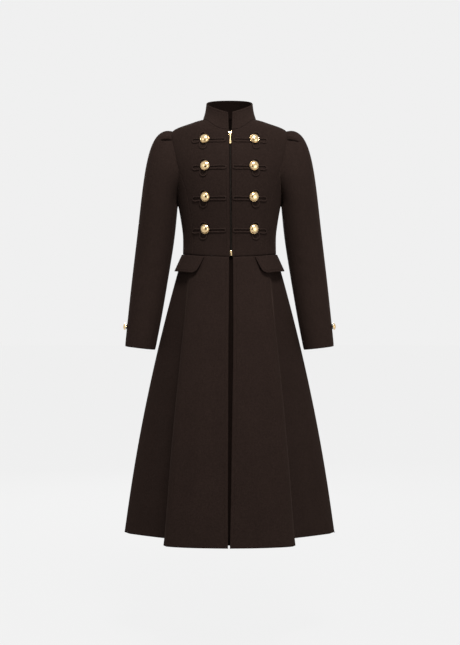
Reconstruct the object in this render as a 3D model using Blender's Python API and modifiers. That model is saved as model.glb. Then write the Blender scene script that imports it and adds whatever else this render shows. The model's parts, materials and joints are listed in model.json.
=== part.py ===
"""Fit-and-flare military coat, filled out as worn, with no wearer in it.

Frame: +Z up, the coat faces -Y, +X is the wearer's left. The origin is the middle of the
neck at the height where the collar meets the shoulder seams. Sizes are millimetres.
"""
import bisect
import functools
import math

import bmesh
import bpy
import numpy as np
from mathutils import Matrix, Vector

MM = 0.001

# Driving sizes

CLOTH = 2.0                 # felted wool wall
DOUBLE_CLOTH = 3.0          # collar and flaps are sewn double
SEAM_GAP = 0.3              # between neighbouring pieces
HALF_GAP = SEAM_GAP / 2 + 0.05
FACET = 0.2                 # most that a flat facet stands off the curved form
SHARP_EDGE = math.radians(50.0)

HEM_Z = -1131.0
ARMHOLE_TOP = -27.0
ARMHOLE_BOTTOM = -235.0
ARMHOLE_TURN = math.radians(34.0)       # how far the armhole reaches round the body
ARMHOLE_SCOOP = 2.2                     # how fast its lower half closes under the arm
PRINCESS_AT_ARMHOLE = math.radians(-8.0)
PRINCESS_FRONT_WAIST = math.radians(50.5)
PRINCESS_FRONT_BEND = 4.0               # how late the seam swings out to the armhole
PRINCESS_BACK_WAIST = math.radians(143.0)
PRINCESS_BACK_BEND = 2.5
SHOULDER_TIP_SHARE = 0.98               # of a front edge lies below the row through the shoulder tip

BODICE_FRONT_GAP = 5.4
UNDERLAP_PAST_SLIT = 12.0   # the strip behind the slit reaches this far behind the right front
UNDERLAP_SEWN = 18.0        # and this far behind the left front, where it is sewn
UNDERLAP_DEPTHS = (14.0, 2.8)               # of its free and its sewn edge behind the fronts' outer face
UNDERLAP_ABOVE_HEM = 6.0

COLLAR_GAP_BASE = 8.0
COLLAR_GAP_TOP = 12.0
COLLAR_RIM_FRONT = 12.0
COLLAR_RIM_BACK = 68.0
NECK_PLAN = (74.0, 75.5, 61.5)          # half width, front depth, back depth
NECK_SQUARENESS = 0.78                  # of the neck ring's front half; 1 makes an ellipse
NECK_SEARCH = (-60.0, 25.0)              # heights between which the neck seam lies
RIM_PLAN = (65.0, 63.0, 60.0)
COLLAR_FLARE = 2.2
COLLAR_RIM_EASE = 0.62
COLLAR_ROWS = 4

FLAP_DROP = 46.0
FLAP_TOP_X = (66.5, 127.5)              # front and side end on the waist seam
FLAP_BOTTOM_TURN = (math.radians(38.0), math.radians(84.0))
FLAP_CORNER = 0.82                      # how far down the front edge rounds off
FLAP_CORNER_TURN = math.radians(5.0)
FLAP_ROWS = (0.0, 0.06, 0.14, 0.4, 0.7, 1.0)
FLAP_COLUMNS = 8
FLAP_STAND_TOP = 4.0
FLAP_STAND_BOTTOM = 24.0

BUTTON_DIAMETER = 25.0
BUTTON_HEIGHT = 7.0
BUTTON_RIM = 0.8                        # height of the flat rim round the dome
BUTTON_SIDES = 12
DOME_SHARE = 0.96                       # of the radius is dome
DOME_DEGREES = (30, 58, 80)             # stations from its top to the rim
CUFF_BUTTON_DIAMETER = 19.5
CUFF_BUTTON_HEIGHT = 6.0
BRAID = 3.2                             # braid cord diameter

TUCK_HEIGHT = 7.0
TUCK_ANGLE = math.radians(46.0)
TUCK_STEP = math.radians(9.0)           # its steep lower side
TUCK_EASE = math.radians(20.0)          # how it dies away over the sleeve head
TUCK_FULL = 0.16                        # along the sleeve head, where the tuck is at its height
TUCK_FADE = (0.26, 0.86)                # where it starts to die away, and has gone
# at the underarm, added on top of the shoulder, and how late that comes
HEAD_SPRING = (4.0, 57.0, 1.5)          # how far the head stands out from the armhole
HEAD_FALL = (4.0, 106.0, 1.1)           # how long it falls straight above the upper arm
HEAD_RISE = 0.3                         # upward share of the way it leaves the shoulder
HEAD_SPREAD = 0.3                       # forward and backward share
UNDERARM_FALL = 0.9                     # downward share at the underarm
UNDERARM_OUT = 0.15                     # outward share at the underarm
HEAD_TURN_OUT = 2.2                     # how soon it points fully outward
SKIRT_SPRING = 0.4                      # extra flare near the waist

# Short tables, one row for each section

# z, half width, front depth, back depth
BODY_SECTIONS = (
    (30.0, 60.0, 52.0, 57.0),
    (18.0, 66.0, 57.0, 61.0),
    (9.0, 70.5, 60.0, 64.0),
    (0.0, 77.0, 62.9, 67.0),
    (-5.0, 98.0, 64.5, 69.0),
    (-13.0, 120.0, 67.0, 72.0),
    (-19.5, 142.0, 69.0, 74.0),
    (-27.0, 156.0, 72.0, 78.0),
    (-60.0, 171.0, 84.0, 90.0),
    (-100.0, 174.0, 97.0, 98.0),
    (-150.0, 162.0, 107.0, 99.0),
    (-190.0, 150.0, 108.0, 97.0),
    (-235.0, 141.0, 104.0, 92.0),
    (-280.0, 133.0, 98.0, 86.0),
    (-324.0, 128.0, 93.0, 82.0),
    (-350.0, 128.0, 92.0, 82.0),
    (-385.0, 130.0, 94.0, 84.0),
)
# degrees from the centre front, z of the waist seam
WAIST_SEAM = ((0.0, -379.0), (30.0, -376.0), (70.0, -369.0), (90.0, -367.0), (180.0, -368.0))
# z, x of the line where the two fronts meet
FRONT_LINE = ((HEM_Z, -1.3), (-380.0, 4.2), (-37.0, 2.0), (60.0, 2.0))
# z, width of the slit below the zip
SLIT_GAP = ((HEM_Z, 4.8), (-1020.0, 8.2), (-860.0, 9.6), (-600.0, 13.0), (-370.0, 10.2))
# degrees round the waist, x and y of the same thread at the hem
SKIRT_HEM = (
    (0.0, 0.0, -218.0),
    (20.0, 74.0, -214.0),
    (38.0, 137.0, -202.0),
    (46.0, 164.0, -191.0),
    (49.0, 171.5, -178.0),
    (52.0, 163.0, -160.0),
    (56.0, 147.0, -135.0),
    (60.0, 143.0, -112.0),
    (64.0, 157.0, -93.0),
    (69.0, 186.0, -76.0),
    (76.0, 232.0, -50.0),
    (84.0, 274.0, -20.0),
    (90.0, 290.0, 6.0),
    (97.0, 281.0, 36.0),
    (105.0, 247.0, 68.0),
    (112.0, 209.0, 97.0),
    (118.0, 189.0, 119.0),
    (124.0, 185.0, 141.0),
    (130.0, 189.0, 162.0),
    (136.0, 178.0, 180.0),
    (150.0, 122.0, 197.0),
    (165.0, 60.0, 204.0),
    (180.0, 0.0, 206.0),
)
# z of the ring's middle, outer x, inner x, y of the middle, half depth
SLEEVE_RINGS = (
    (-240.0, 245.0, 142.8, 0.0, 57.0),
    (-302.0, 252.0, 148.0, 3.0, 54.0),
    (-368.0, 260.0, 158.5, 4.0, 51.0),
    (-437.0, 268.0, 169.5, -1.0, 48.0),
    (-520.0, 276.0, 182.5, -11.0, 44.0),
    (-623.5, 285.5, 202.0, -22.0, 40.0),
)
SLEEVE_TILT = 0.12
# x and z of the four buttons down each front
BUTTON_PLACES = ((66.0, -63.0), (64.5, -137.0), (64.0, -219.0), (64.5, -304.0))
FROG_FROM_BUTTON = (5.0, -4.0)
# along and up, upper half of a frog from its long inner loop to its outer loop
FROG_UPPER_HALF = (
    (-59.0, 0.0), (-56.0, 4.0), (-24.0, 3.8), (-9.5, 5.0),
    (-9.0, 14.0), (-6.5, 20.0), (0.0, 22.5), (6.5, 20.0), (9.0, 14.0),
    (9.5, 5.0), (24.0, 5.6), (29.0, 0.0),
)
# along and up, upper half of a cuff loop
CUFF_LOOP_UPPER_HALF = ((-14.0, 0.0), (-11.0, 4.2), (0.0, 4.6), (11.0, 4.2), (14.0, 0.0))
CUFF_BUTTON_RING = 0.862                # along the sleeve, from the upper arm to the hem
CUFF_BUTTON_ANGLE = math.radians(80.0)
CUFF_RADIUS = 41.6

# Rows and columns of the cloth grids

ARMHOLE_STATIONS = (-90, -76, -62, -44, -26, -8, 10, 27, 40, 46, 51, 60, 74, 90)   # degrees
PRINCESS_ROWS = 9
SHOULDER_ROWS = 5
FRONT_COLUMNS = 7
BACK_COLUMNS = 10
SEAM_COLUMN = 0.05                      # a narrow column beside a seam keeps the wall square
SLEEVE_HEAD_ROWS = (0.0, 0.02, 0.12, 0.25, 0.38, 0.52, 0.68, 0.84, 1.0)
SLEEVE_ARM_ROWS = (1.2, 1.4, 1.6, 1.8, 2.0)
SLEEVE_FRONT_SEAM = math.radians(-62.0)
SLEEVE_BACK_SEAM = math.radians(242.0)
SKIRT_FRONT_COLUMNS = (0.0, 10.0, 29.0, 42.0, 90.0)     # degrees, besides those of the hem table
SKIRT_BACK_COLUMNS = (143.0,)
UNDERLAP_COLUMNS = (0.0, 0.35, 0.7, 1.0)
SKIRT_ROWS = (0.0, 0.03, 0.08, 0.16, 0.27, 0.4, 0.55, 0.7, 0.85, 1.0)

# Zip

ZIP_CHAIN_WIDTH = 4.6
ZIP_CHAIN_DEPTH = 2.4
ZIP_TAPE_WIDTH = 13.0
ZIP_TAPE_DEPTH = 0.9
ZIP_TOP = -44.0
ZIP_BOTTOM = -362.0
ZIP_ROWS = 20
TAPE_ABOVE_CHAIN = 6.0
BOX_BOTTOM = -376.0
BOX_STAND = 1.0                         # its face out from the cloth
BOX_DEPTH = 3.4
BOX_ROWS = 2
SLIDER_WIDTH = 8.4
SLIDER_HEIGHT = 13.0
SLIDER_DEPTH = 2.6
SLIDER_TOP = -44.5
PIN_RADIUS = 0.7
PIN_BELOW_TOP = 5.0
PIN_OVER_FACE = 2.7
PIN_SIDES = 12
EAR_WIDTH = 1.3
EAR_HEIGHT = 4.0
EAR_INSET = 0.2                         # from the slider's sides
EAR_PAST_PIN = 1.4
EAR_ROOT = 1.0                          # how deep the ears are rooted in the slider
TAB_WIDTH = 4.0
TAB_LENGTH = 33.0
TAB_DEPTH = 1.6
TAB_EYE_RADIUS = 1.15
TAB_EYE_OUTER = 2.1
TAB_EYE_WIDTH = 4.6
TAB_EYE_LAP = 0.7                       # how deep the tab's plate is rooted in the eye's barrel
TAB_LEAN = math.radians(6.0)

WOOL = ("wool", (0.026, 0.016, 0.013, 1.0), 0.95, 0.0)
BRAID_TRIM = ("braid", (0.018, 0.011, 0.009, 1.0), 0.8, 0.0)
ZIP_CLOTH = ("zip_tape", (0.012, 0.009, 0.008, 1.0), 0.85, 0.0)
ZIP_METAL = ("zip_chain", (0.05, 0.04, 0.033, 1.0), 0.45, 0.9)
GOLD = ("gold", (0.80, 0.56, 0.22, 1.0), 0.25, 1.0)


# Curves through the tables

@functools.lru_cache(maxsize=None)
def spline_of(table, column):
    """Knots, values and slopes of a monotone cubic through one column of a table."""
    rows = sorted(table)
    knots = [row[0] for row in rows]
    values = [row[column] for row in rows]
    steps = [b - a for a, b in zip(knots, knots[1:])]
    rises = [(b - a) / step for a, b, step in zip(values, values[1:], steps)]
    slopes = [rises[0]]
    for i in range(1, len(rises)):
        before, after = rises[i - 1], rises[i]
        weight = (steps[i - 1] + 2 * steps[i]) / (3 * (steps[i - 1] + steps[i]))
        turning = before * after <= 0.0
        slopes.append(0.0 if turning else before * after / (weight * after + (1 - weight) * before))
    slopes.append(rises[-1])
    return knots, values, slopes


def smooth_through(table, column, place):
    """Value of a table's column at a place, where the first column is the place."""
    knots, values, slopes = spline_of(table, column)
    place = min(max(place, knots[0]), knots[-1])
    i = min(max(bisect.bisect_left(knots, place) - 1, 0), len(knots) - 2)
    step = knots[i + 1] - knots[i]
    s = (place - knots[i]) / step
    return ((1 + 2 * s) * (1 - s) ** 2 * values[i] + s * (1 - s) ** 2 * step * slopes[i]
            + s * s * (3 - 2 * s) * values[i + 1] - s * s * (1 - s) * step * slopes[i + 1])


def smooth_step(s):
    s = min(max(s, 0.0), 1.0)
    return s * s * (3 - 2 * s)


def fold_angle(turn):
    """Turn round the body, brought to 0 at the front and 180 degrees at the back."""
    turn = abs(math.degrees(turn)) % 360.0
    return 360.0 - turn if turn > 180.0 else turn


def front_line(z):
    return smooth_through(FRONT_LINE, 1, z)


def spaced(start, end, count):
    return [start + (end - start) * i / count for i in range(count + 1)]


def beside_seams(columns, ends=(True, True)):
    """Columns with a narrow one added next to the first and the last, where those are seams."""
    first = [columns[0] + SEAM_COLUMN * (columns[1] - columns[0])] if ends[0] else []
    last = [columns[-1] + SEAM_COLUMN * (columns[-2] - columns[-1])] if ends[1] else []
    return [columns[0], *first, *columns[1:-1], *last, columns[-1]]


# The body form that the bodice is cut to

def body_section(z):
    return tuple(smooth_through(BODY_SECTIONS, column, z) for column in (1, 2, 3))


def body_point(turn, z):
    half_width, front, back = body_section(z)
    depth = front if math.cos(turn) > 0 else back
    return Vector((half_width * math.sin(turn), -depth * math.cos(turn), z))


def turn_at(x, z):
    """Turn from the centre front to a place x on the front at height z."""
    return math.asin(min(max(x / body_section(z)[0], -1.0), 1.0))


def surface_out(surface, u, v, out):
    """A surface point moved out along the surface's own normal."""
    step = 1e-3
    along = surface(u + step, v) - surface(u - step, v)
    up = surface(u, v + step) - surface(u, v - step)
    return surface(u, v) + along.cross(up).normalized() * out


def normal_at(surface, u, v):
    return surface_out(surface, u, v, 1.0) - surface(u, v)


def front_point(x, z, out):
    return surface_out(body_point, turn_at(x, z), z, out)


def waist_z(turn):
    return smooth_through(WAIST_SEAM, 1, fold_angle(turn))


def neck_place(turn):
    """Place on the neck ring, to the side and ahead. Its front half is squarer than an ellipse."""
    half_width, front, back = NECK_PLAN
    across, ahead = math.sin(turn), math.cos(turn)
    if ahead <= 0:
        return half_width * across, back * ahead
    return half_width * math.copysign(abs(across) ** NECK_SQUARENESS, across), front * ahead ** NECK_SQUARENESS


def neck_angle(share):
    """Small turn on the ring's front half that moves a place by a share of its size."""
    return math.asin(share ** (1 / NECK_SQUARENESS))


def neck_line(turn):
    """Where the neck ring meets the body form: turn and z on that form."""
    x, y = neck_place(turn)
    low, high = NECK_SEARCH
    for _ in range(40):
        z = (low + high) / 2
        wide, ahead, behind = body_section(z)
        deep = ahead if y > 0 else behind
        if (x / wide) ** 2 + (y / deep) ** 2 < 1.0:
            low = z
        else:
            high = z
    wide, ahead, behind = body_section(z)
    deep = ahead if y > 0 else behind
    return math.atan2(x / wide, y / deep) % (2 * math.pi), z


def armhole(angle):
    """Turn and z on the body form, from the front (0) over the shoulder (90 degrees)."""
    middle = (ARMHOLE_TOP + ARMHOLE_BOTTOM) / 2
    reach = (ARMHOLE_TOP - ARMHOLE_BOTTOM) / 2
    sharpness = 1.0 if math.sin(angle) > 0 else ARMHOLE_SCOOP
    lean = math.copysign(abs(math.cos(angle)) ** sharpness, math.cos(angle))
    return math.pi / 2 - ARMHOLE_TURN * lean, middle + reach * math.sin(angle)


def armhole_inward(angle):
    """Direction in the cloth, square to the armhole's edge and into the hole."""
    step = 1e-3
    edge = body_point(*armhole(angle + step)) - body_point(*armhole(angle - step))
    turn, z = armhole(angle)
    return edge.cross(normal_at(body_point, turn, z)).normalized()


def princess_line(v, behind):
    """Turn and z of a princess seam, from the waist (0) to the armhole (1)."""
    waist_turn = PRINCESS_BACK_WAIST if behind else PRINCESS_FRONT_WAIST
    bend = PRINCESS_BACK_BEND if behind else PRINCESS_FRONT_BEND
    top_turn, top_z = armhole(math.pi - PRINCESS_AT_ARMHOLE if behind else PRINCESS_AT_ARMHOLE)
    low_z = waist_z(waist_turn) + HALF_GAP
    return waist_turn + (top_turn - waist_turn) * v ** bend, low_z + (top_z - low_z) * v


# Turning grids into cloth

def clear_scene():
    for old in list(bpy.data.objects):
        bpy.data.objects.remove(old, do_unlink=True)


def make_material(finish):
    name, colour, roughness, metallic = finish
    material = bpy.data.materials.get(name) or bpy.data.materials.new(name)
    material.use_nodes = True
    shader = material.node_tree.nodes["Principled BSDF"]
    shader.inputs["Base Color"].default_value = colour
    shader.inputs["Roughness"].default_value = roughness
    shader.inputs["Metallic"].default_value = metallic
    return material


def coat_collection():
    name = "military_coat"
    collection = bpy.data.collections.get(name)
    if collection is None:
        collection = bpy.data.collections.new(name)
        bpy.context.scene.collection.children.link(collection)
    return collection


def add_object(name, data, finish):
    piece = bpy.data.objects.new(name, data)
    data.materials.append(make_material(finish))
    coat_collection().objects.link(piece)
    return piece


def mesh_from(bm, name):
    mesh = bpy.data.meshes.new(name)
    bm.to_mesh(mesh)
    bm.free()
    mesh.shade_smooth()
    mesh.set_sharp_from_angle(angle=SHARP_EDGE)
    return mesh


def cloth_piece(name, surface, columns, rows, side=1, wall=CLOTH, finish=WOOL):
    """Cloth wall whose outer face is a surface, sampled at columns and rows.

    Columns run round the body and rows run up it. Side -1 mirrors the piece.
    """
    bm = bmesh.new()
    across, up = len(columns) - 1, len(rows) - 1
    bmesh.ops.create_grid(bm, x_segments=across, y_segments=up, size=1.0)
    for vert in bm.verts:
        column = columns[round((vert.co.x + 1) / 2 * across)]
        row = rows[round((vert.co.y + 1) / 2 * up)]
        point = surface(column, row)
        vert.co = Vector((side * point.x, point.y, point.z)) * MM
    if side < 0:
        bmesh.ops.reverse_faces(bm, faces=bm.faces[:])
    piece = add_object(name, mesh_from(bm, name), finish)
    solidify = piece.modifiers.new("wall", "SOLIDIFY")
    solidify.thickness = wall * MM
    solidify.offset = -1.0
    solidify.use_even_offset = True
    return piece


def patch(bottom, top, left, right):
    """Surface in turn and z between four lines, laid on the body form."""
    def corner_mix(u, v, column):
        sides = (1 - u) * left(v)[column] + u * right(v)[column]
        ends = (1 - v) * bottom(u)[column] + v * top(u)[column]
        corners = ((1 - u) * (1 - v) * bottom(0)[column] + u * (1 - v) * bottom(1)[column]
                   + (1 - u) * v * top(0)[column] + u * v * top(1)[column])
        return sides + ends - corners

    def surface(u, v):
        return body_point(corner_mix(u, v, 0), corner_mix(u, v, 1))
    return surface


# Bodice

def inset(line, by_turn):
    def moved(v):
        turn, z = line(v)
        return turn + by_turn, z
    return moved


def seam_turn(z):
    return HALF_GAP / body_section(z)[1]


def armhole_angles(behind):
    """Stations from the princess seam up to the shoulder."""
    upper = [math.radians(d) for d in ARMHOLE_STATIONS if math.radians(d) >= PRINCESS_AT_ARMHOLE - 1e-6]
    return [math.pi - angle for angle in upper] if behind else upper


def upper_edge(behind):
    """Princess seam, armhole and shoulder seam as one line from the waist to the neck."""
    angles = armhole_angles(behind)
    armhole_end = PRINCESS_ROWS + len(angles) - 1
    last = armhole_end + SHOULDER_ROWS
    neck_turn, neck_z = neck_line(math.pi / 2)
    away = 1 if behind else -1

    def line(v):
        row = v * last
        if row <= PRINCESS_ROWS:
            turn, z = princess_line(row / PRINCESS_ROWS, behind)
        elif row <= armhole_end:
            place = row - PRINCESS_ROWS
            turn, z = armhole(np.interp(place, range(len(angles)), angles))
        else:
            turn = neck_turn
            z = ARMHOLE_TOP + (neck_z - ARMHOLE_TOP) * (row - armhole_end) / SHOULDER_ROWS
        return turn + away * 1.5 * seam_turn(z), z
    return line, spaced(0, 1, last)


def waist_between(start, end):
    def line(u):
        turn = start + (end - start) * u
        return turn, waist_z(turn) + HALF_GAP
    return line


def front_edge_turn(z, side):
    return turn_at(BODICE_FRONT_GAP / 2 + side * front_line(z), z)


def neck_start(side):
    """Turn on the neck ring where a front's edge meets it."""
    return neck_angle((BODICE_FRONT_GAP / 2 + side * front_line(0.0)) / NECK_PLAN[0])


def neck_turns(side):
    """Stations on the neck ring from a front edge to the shoulder seam."""
    return spaced(neck_start(side), math.pi / 2 - neck_angle(HALF_GAP / NECK_PLAN[1]), FRONT_COLUMNS)


def bodice_front(side):
    edge, rows = upper_edge(behind=False)
    low_z = waist_z(0) + HALF_GAP
    top_z = neck_line(neck_start(side))[1]

    def front_edge(v):
        edge_z, seam_low, seam_top = edge(v)[1], edge(0)[1], edge(1)[1]
        if edge_z < ARMHOLE_TOP:
            share = SHOULDER_TIP_SHARE * (edge_z - seam_low) / (ARMHOLE_TOP - seam_low)
        else:
            share = 1 - (1 - SHOULDER_TIP_SHARE) * (seam_top - edge_z) / (seam_top - ARMHOLE_TOP)
        z = low_z + (top_z - low_z) * share
        return front_edge_turn(z, side), z

    def neck(u):
        start, end = neck_turns(side)[0], neck_turns(side)[-1]
        return neck_line(start + (end - start) * u)

    surface = patch(waist_between(front_edge(0)[0], edge(0)[0]), neck, front_edge, edge)
    name = "bodice_front_left" if side > 0 else "bodice_front_right"
    columns = beside_seams(spaced(0, 1, FRONT_COLUMNS), (False, True))
    cloth_piece(name, surface, columns, rows, side)


def bodice_side(side, behind):
    """Panel between a princess seam and the side seam, under the armhole."""
    start = math.pi - PRINCESS_AT_ARMHOLE if behind else PRINCESS_AT_ARMHOLE
    under = 3 * math.pi / 2 if behind else -math.pi / 2
    towards_side = -1 if behind else 1
    seam = inset(lambda v: princess_line(v, behind), towards_side * seam_turn(ARMHOLE_BOTTOM))
    low_z = waist_z(math.pi / 2) + HALF_GAP

    def side_seam(v):
        z = low_z + (ARMHOLE_BOTTOM - low_z) * v
        return math.pi / 2 - towards_side * seam_turn(z), z

    def armhole_edge(u):
        turn, z = armhole(start + (under - start) * u)
        shift = seam(1)[0] - armhole(start)[0]
        end_shift = side_seam(1)[0] - math.pi / 2
        return turn + shift * (1 - u) + end_shift * u, z - HALF_GAP * u

    waist = waist_between(seam(0)[0], side_seam(0)[0])
    surface = patch(waist, armhole_edge, seam, side_seam)
    lower = [math.radians(d) for d in ARMHOLE_STATIONS if math.radians(d) <= PRINCESS_AT_ARMHOLE + 1e-6]
    columns = [(angle - lower[-1]) / (lower[0] - lower[-1]) for angle in reversed(lower)]
    columns = beside_seams(columns)
    if behind:
        columns.reverse()
    hand = "left" if side > 0 else "right"
    end = "back" if behind else "front"
    cloth_piece(f"bodice_side_{end}_{hand}", surface, columns, spaced(0, 1, PRINCESS_ROWS), side)


def bodice_back():
    edge, rows = upper_edge(behind=True)

    def other_edge(v):
        turn, z = edge(v)
        return 2 * math.pi - turn, z

    def neck(u):
        start = math.pi / 2 + HALF_GAP / NECK_PLAN[2]
        return neck_line(start + 2 * (math.pi - start) * u)

    waist = waist_between(edge(0)[0], other_edge(0)[0])
    surface = patch(waist, neck, edge, other_edge)
    cloth_piece("bodice_back", surface, beside_seams(spaced(0, 1, BACK_COLUMNS)), rows)


# Collar

def collar_rim_z(turn):
    rise = ((1 - math.cos(turn)) / 2) ** COLLAR_RIM_EASE
    return COLLAR_RIM_FRONT + (COLLAR_RIM_BACK - COLLAR_RIM_FRONT) * rise


def collar_point(turn, v):
    base = body_point(*neck_line(turn))
    half_width, front, back = RIM_PLAN
    depth = front if math.cos(turn) > 0 else back
    flare = (1 - v) ** COLLAR_FLARE
    x = half_width * math.sin(turn)
    y = -depth * math.cos(turn)
    low = base.z + 2 * SEAM_GAP
    return Vector((x + (base.x - x) * flare, y + (base.y - y) * flare,
                   low + (collar_rim_z(turn) - low) * v))


def collar_end(x, v):
    """Turn at which the collar, at a share v of its height, lies x to the side."""
    low, high = 0.0, math.pi / 2
    for _ in range(40):
        turn = (low + high) / 2
        if collar_point(turn, v).x < x:
            low = turn
        else:
            high = turn
    return turn


def collar():
    """Stand collar in one piece, open at the front."""
    back = spaced(math.pi / 2, 3 * math.pi / 2, BACK_COLUMNS)
    right = [2 * math.pi - turn for turn in reversed(neck_turns(-1)[:-1])]
    columns = neck_turns(1)[:-1] + back + right
    ends = {columns[0]: 1, columns[-1]: -1}

    def surface(turn, v):
        if turn in ends:
            gap = COLLAR_GAP_BASE + (COLLAR_GAP_TOP - COLLAR_GAP_BASE) * v
            edge = collar_end(gap / 2 + ends[turn] * front_line(0.0), v)
            turn = edge if ends[turn] > 0 else 2 * math.pi - edge
        return collar_point(turn, v)
    cloth_piece("collar", surface, columns, spaced(0, 1, COLLAR_ROWS), wall=DOUBLE_CLOTH)


# Sleeves

def sleeve_ring(angle, along):
    """Ring of the arm: 0 at the upper arm, 1 at the hem."""
    top, hem = SLEEVE_RINGS[0][0], SLEEVE_RINGS[-1][0]
    z = top + (hem - top) * along
    outer, inner, middle_y, depth = (smooth_through(SLEEVE_RINGS, c, z) for c in (1, 2, 3, 4))
    across = (outer - inner) / 2 * math.sin(angle)
    return Vector(((outer + inner) / 2 + across, middle_y - depth * math.cos(angle),
                   z + SLEEVE_TILT * across))


def sleeve_base(angle, along):
    """Sleeve without tucks: 0 at the armhole, 1 at the upper arm, 2 at the hem."""
    if along >= 1.0:
        return sleeve_ring(angle, along - 1.0)
    height = (1 + math.sin(angle)) / 2
    sideways = UNDERARM_OUT + (1 - UNDERARM_OUT) * min(1.0, HEAD_TURN_OUT * height)
    rise = (HEAD_RISE if math.sin(angle) > 0 else UNDERARM_FALL) * math.sin(angle)
    outward = Vector((sideways, -HEAD_SPREAD * math.cos(angle), rise))
    seam = armhole_inward(angle) * (SEAM_GAP + HALF_GAP) + Vector((2 * SEAM_GAP * (1 - height), 0.0, 0.0))
    start = body_point(*armhole(angle)) + seam
    end = sleeve_ring(angle, 0.0)
    axis = sleeve_ring(angle, 0.0) - sleeve_ring(angle, 0.05)
    spring, fall = (low + more * height ** late for low, more, late in (HEAD_SPRING, HEAD_FALL))
    first = start + outward * spring
    second = end + axis.normalized() * fall
    back = 1 - along
    return (start * back ** 3 + first * (3 * back * back * along)
            + second * (3 * back * along * along) + end * along ** 3)


def tuck(angle):
    """Knife tuck: steep on its lower side, easing off over the sleeve head."""
    height = 0.0
    for crease in (TUCK_ANGLE, math.pi - TUCK_ANGLE):
        over = (angle - crease) if crease < math.pi / 2 else (crease - angle)
        height += smooth_step(over / TUCK_STEP) * math.exp(-max(over, 0.0) / TUCK_EASE)
    return height


def sleeve_point(angle, along):
    fade_start, fade_end = TUCK_FADE
    dying = smooth_step((along - fade_start) / (fade_end - fade_start))
    fade = smooth_step(along / TUCK_FULL) * (1 - dying)
    if fade == 0.0:
        return sleeve_base(angle, along)
    return surface_out(sleeve_base, angle, along, -TUCK_HEIGHT * fade * tuck(angle))


def sleeve(side):
    hand = "left" if side > 0 else "right"
    rows = [2.0 - row for row in (*SLEEVE_HEAD_ROWS, *SLEEVE_ARM_ROWS)]
    rows.sort()
    seam = SEAM_GAP / 2 / SLEEVE_RINGS[-1][4]
    front = [math.radians(d) for d in ARMHOLE_STATIONS]
    stations = front + [math.pi - angle for angle in reversed(front[:-1])]
    upper = [a for a in stations if SLEEVE_FRONT_SEAM - 1e-6 <= a <= SLEEVE_BACK_SEAM + 1e-6]
    upper[0] += seam
    upper[-1] -= seam
    under = [a for a in stations if a >= SLEEVE_BACK_SEAM - 1e-6]
    under += [2 * math.pi + a for a in stations[1:] if a <= SLEEVE_FRONT_SEAM + 1e-6]
    under[0] += seam
    under[-1] -= seam

    def turned(angle, height):
        return sleeve_point(angle, 2.0 - height)
    cloth_piece(f"sleeve_upper_{hand}", turned, beside_seams(upper), rows, side)
    cloth_piece(f"sleeve_under_{hand}", turned, beside_seams(under), rows, side)


# Skirt

def skirt_point(turn, down):
    """Skirt from the waist seam (0) to the hem (1), with its folds opening downwards."""
    degrees = fold_angle(turn)
    hem_x = math.copysign(smooth_through(SKIRT_HEM, 1, degrees), math.sin(turn))
    hem_y = smooth_through(SKIRT_HEM, 2, degrees)
    waist = body_point(turn, waist_z(turn) - HALF_GAP)
    flare = down + SKIRT_SPRING * down * (1 - down)
    return Vector((waist.x + (hem_x - waist.x) * flare, waist.y + (hem_y - waist.y) * flare,
                   waist.z + (HEM_Z - waist.z) * down))


def skirt_upward(turn, up):
    return skirt_point(turn, 1.0 - up)


def slit_edge(side, up):
    """How far one front's edge lies from the coat's middle plane, towards its own side."""
    z = waist_z(0) + (HEM_Z - waist_z(0)) * (1 - up)
    return smooth_through(SLIT_GAP, 1, z) / 2 + side * front_line(z)


def skirt_near_front(x, up):
    """Skirt form beside its centre front, by the distance from the coat's middle plane."""
    first = skirt_upward(math.radians(SKIRT_FRONT_COLUMNS[1]), up)
    centre = skirt_upward(0.0, up)
    share = abs(x) / first.x
    return Vector((x, centre.y + (first.y - centre.y) * share ** 2,
                   centre.z + (first.z - centre.z) * share))


def skirt_front(side):
    stations = [row[0] for row in SKIRT_HEM if 0 < row[0] < 90]
    columns = beside_seams(sorted([*SKIRT_FRONT_COLUMNS, *stations]), (False, True))

    def surface(column, up):
        if column == columns[0]:
            return skirt_near_front(slit_edge(side, up), up)
        point = skirt_upward(math.radians(column), up)
        if column == columns[-1]:
            point.y -= HALF_GAP
        return point
    name = "skirt_front_left" if side > 0 else "skirt_front_right"
    cloth_piece(name, surface, columns, [1 - row for row in reversed(SKIRT_ROWS)], side)


def skirt_underlap():
    """Strip sewn behind the left front's edge: the dark ground that shows in the slit."""
    def surface(across, row):
        up = 1 - (1 - row) * (1 - UNDERLAP_ABOVE_HEM / (waist_z(0) - HEM_Z))
        free = -slit_edge(-1, up) - UNDERLAP_PAST_SLIT
        sewn = slit_edge(1, up) + UNDERLAP_SEWN
        point = skirt_near_front(free + (sewn - free) * across, up)
        point.y += UNDERLAP_DEPTHS[0] + (UNDERLAP_DEPTHS[1] - UNDERLAP_DEPTHS[0]) * across
        point.z = skirt_upward(0.0, up).z
        return point
    cloth_piece("skirt_underlap", surface, UNDERLAP_COLUMNS, [1 - row for row in reversed(SKIRT_ROWS)])


def skirt_back():
    stations = [row[0] for row in SKIRT_HEM if 90 <= row[0] < 180]
    half = beside_seams(sorted([*SKIRT_BACK_COLUMNS, *stations]), (True, False))
    columns = half + [180.0] + [360.0 - degrees for degrees in reversed(half)]

    def surface(column, up):
        point = skirt_upward(math.radians(column), up)
        if column in (columns[0], columns[-1]):
            point.y += HALF_GAP
        return point
    cloth_piece("skirt_back", surface, columns, [1 - row for row in reversed(SKIRT_ROWS)])


# Pocket flaps

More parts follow.
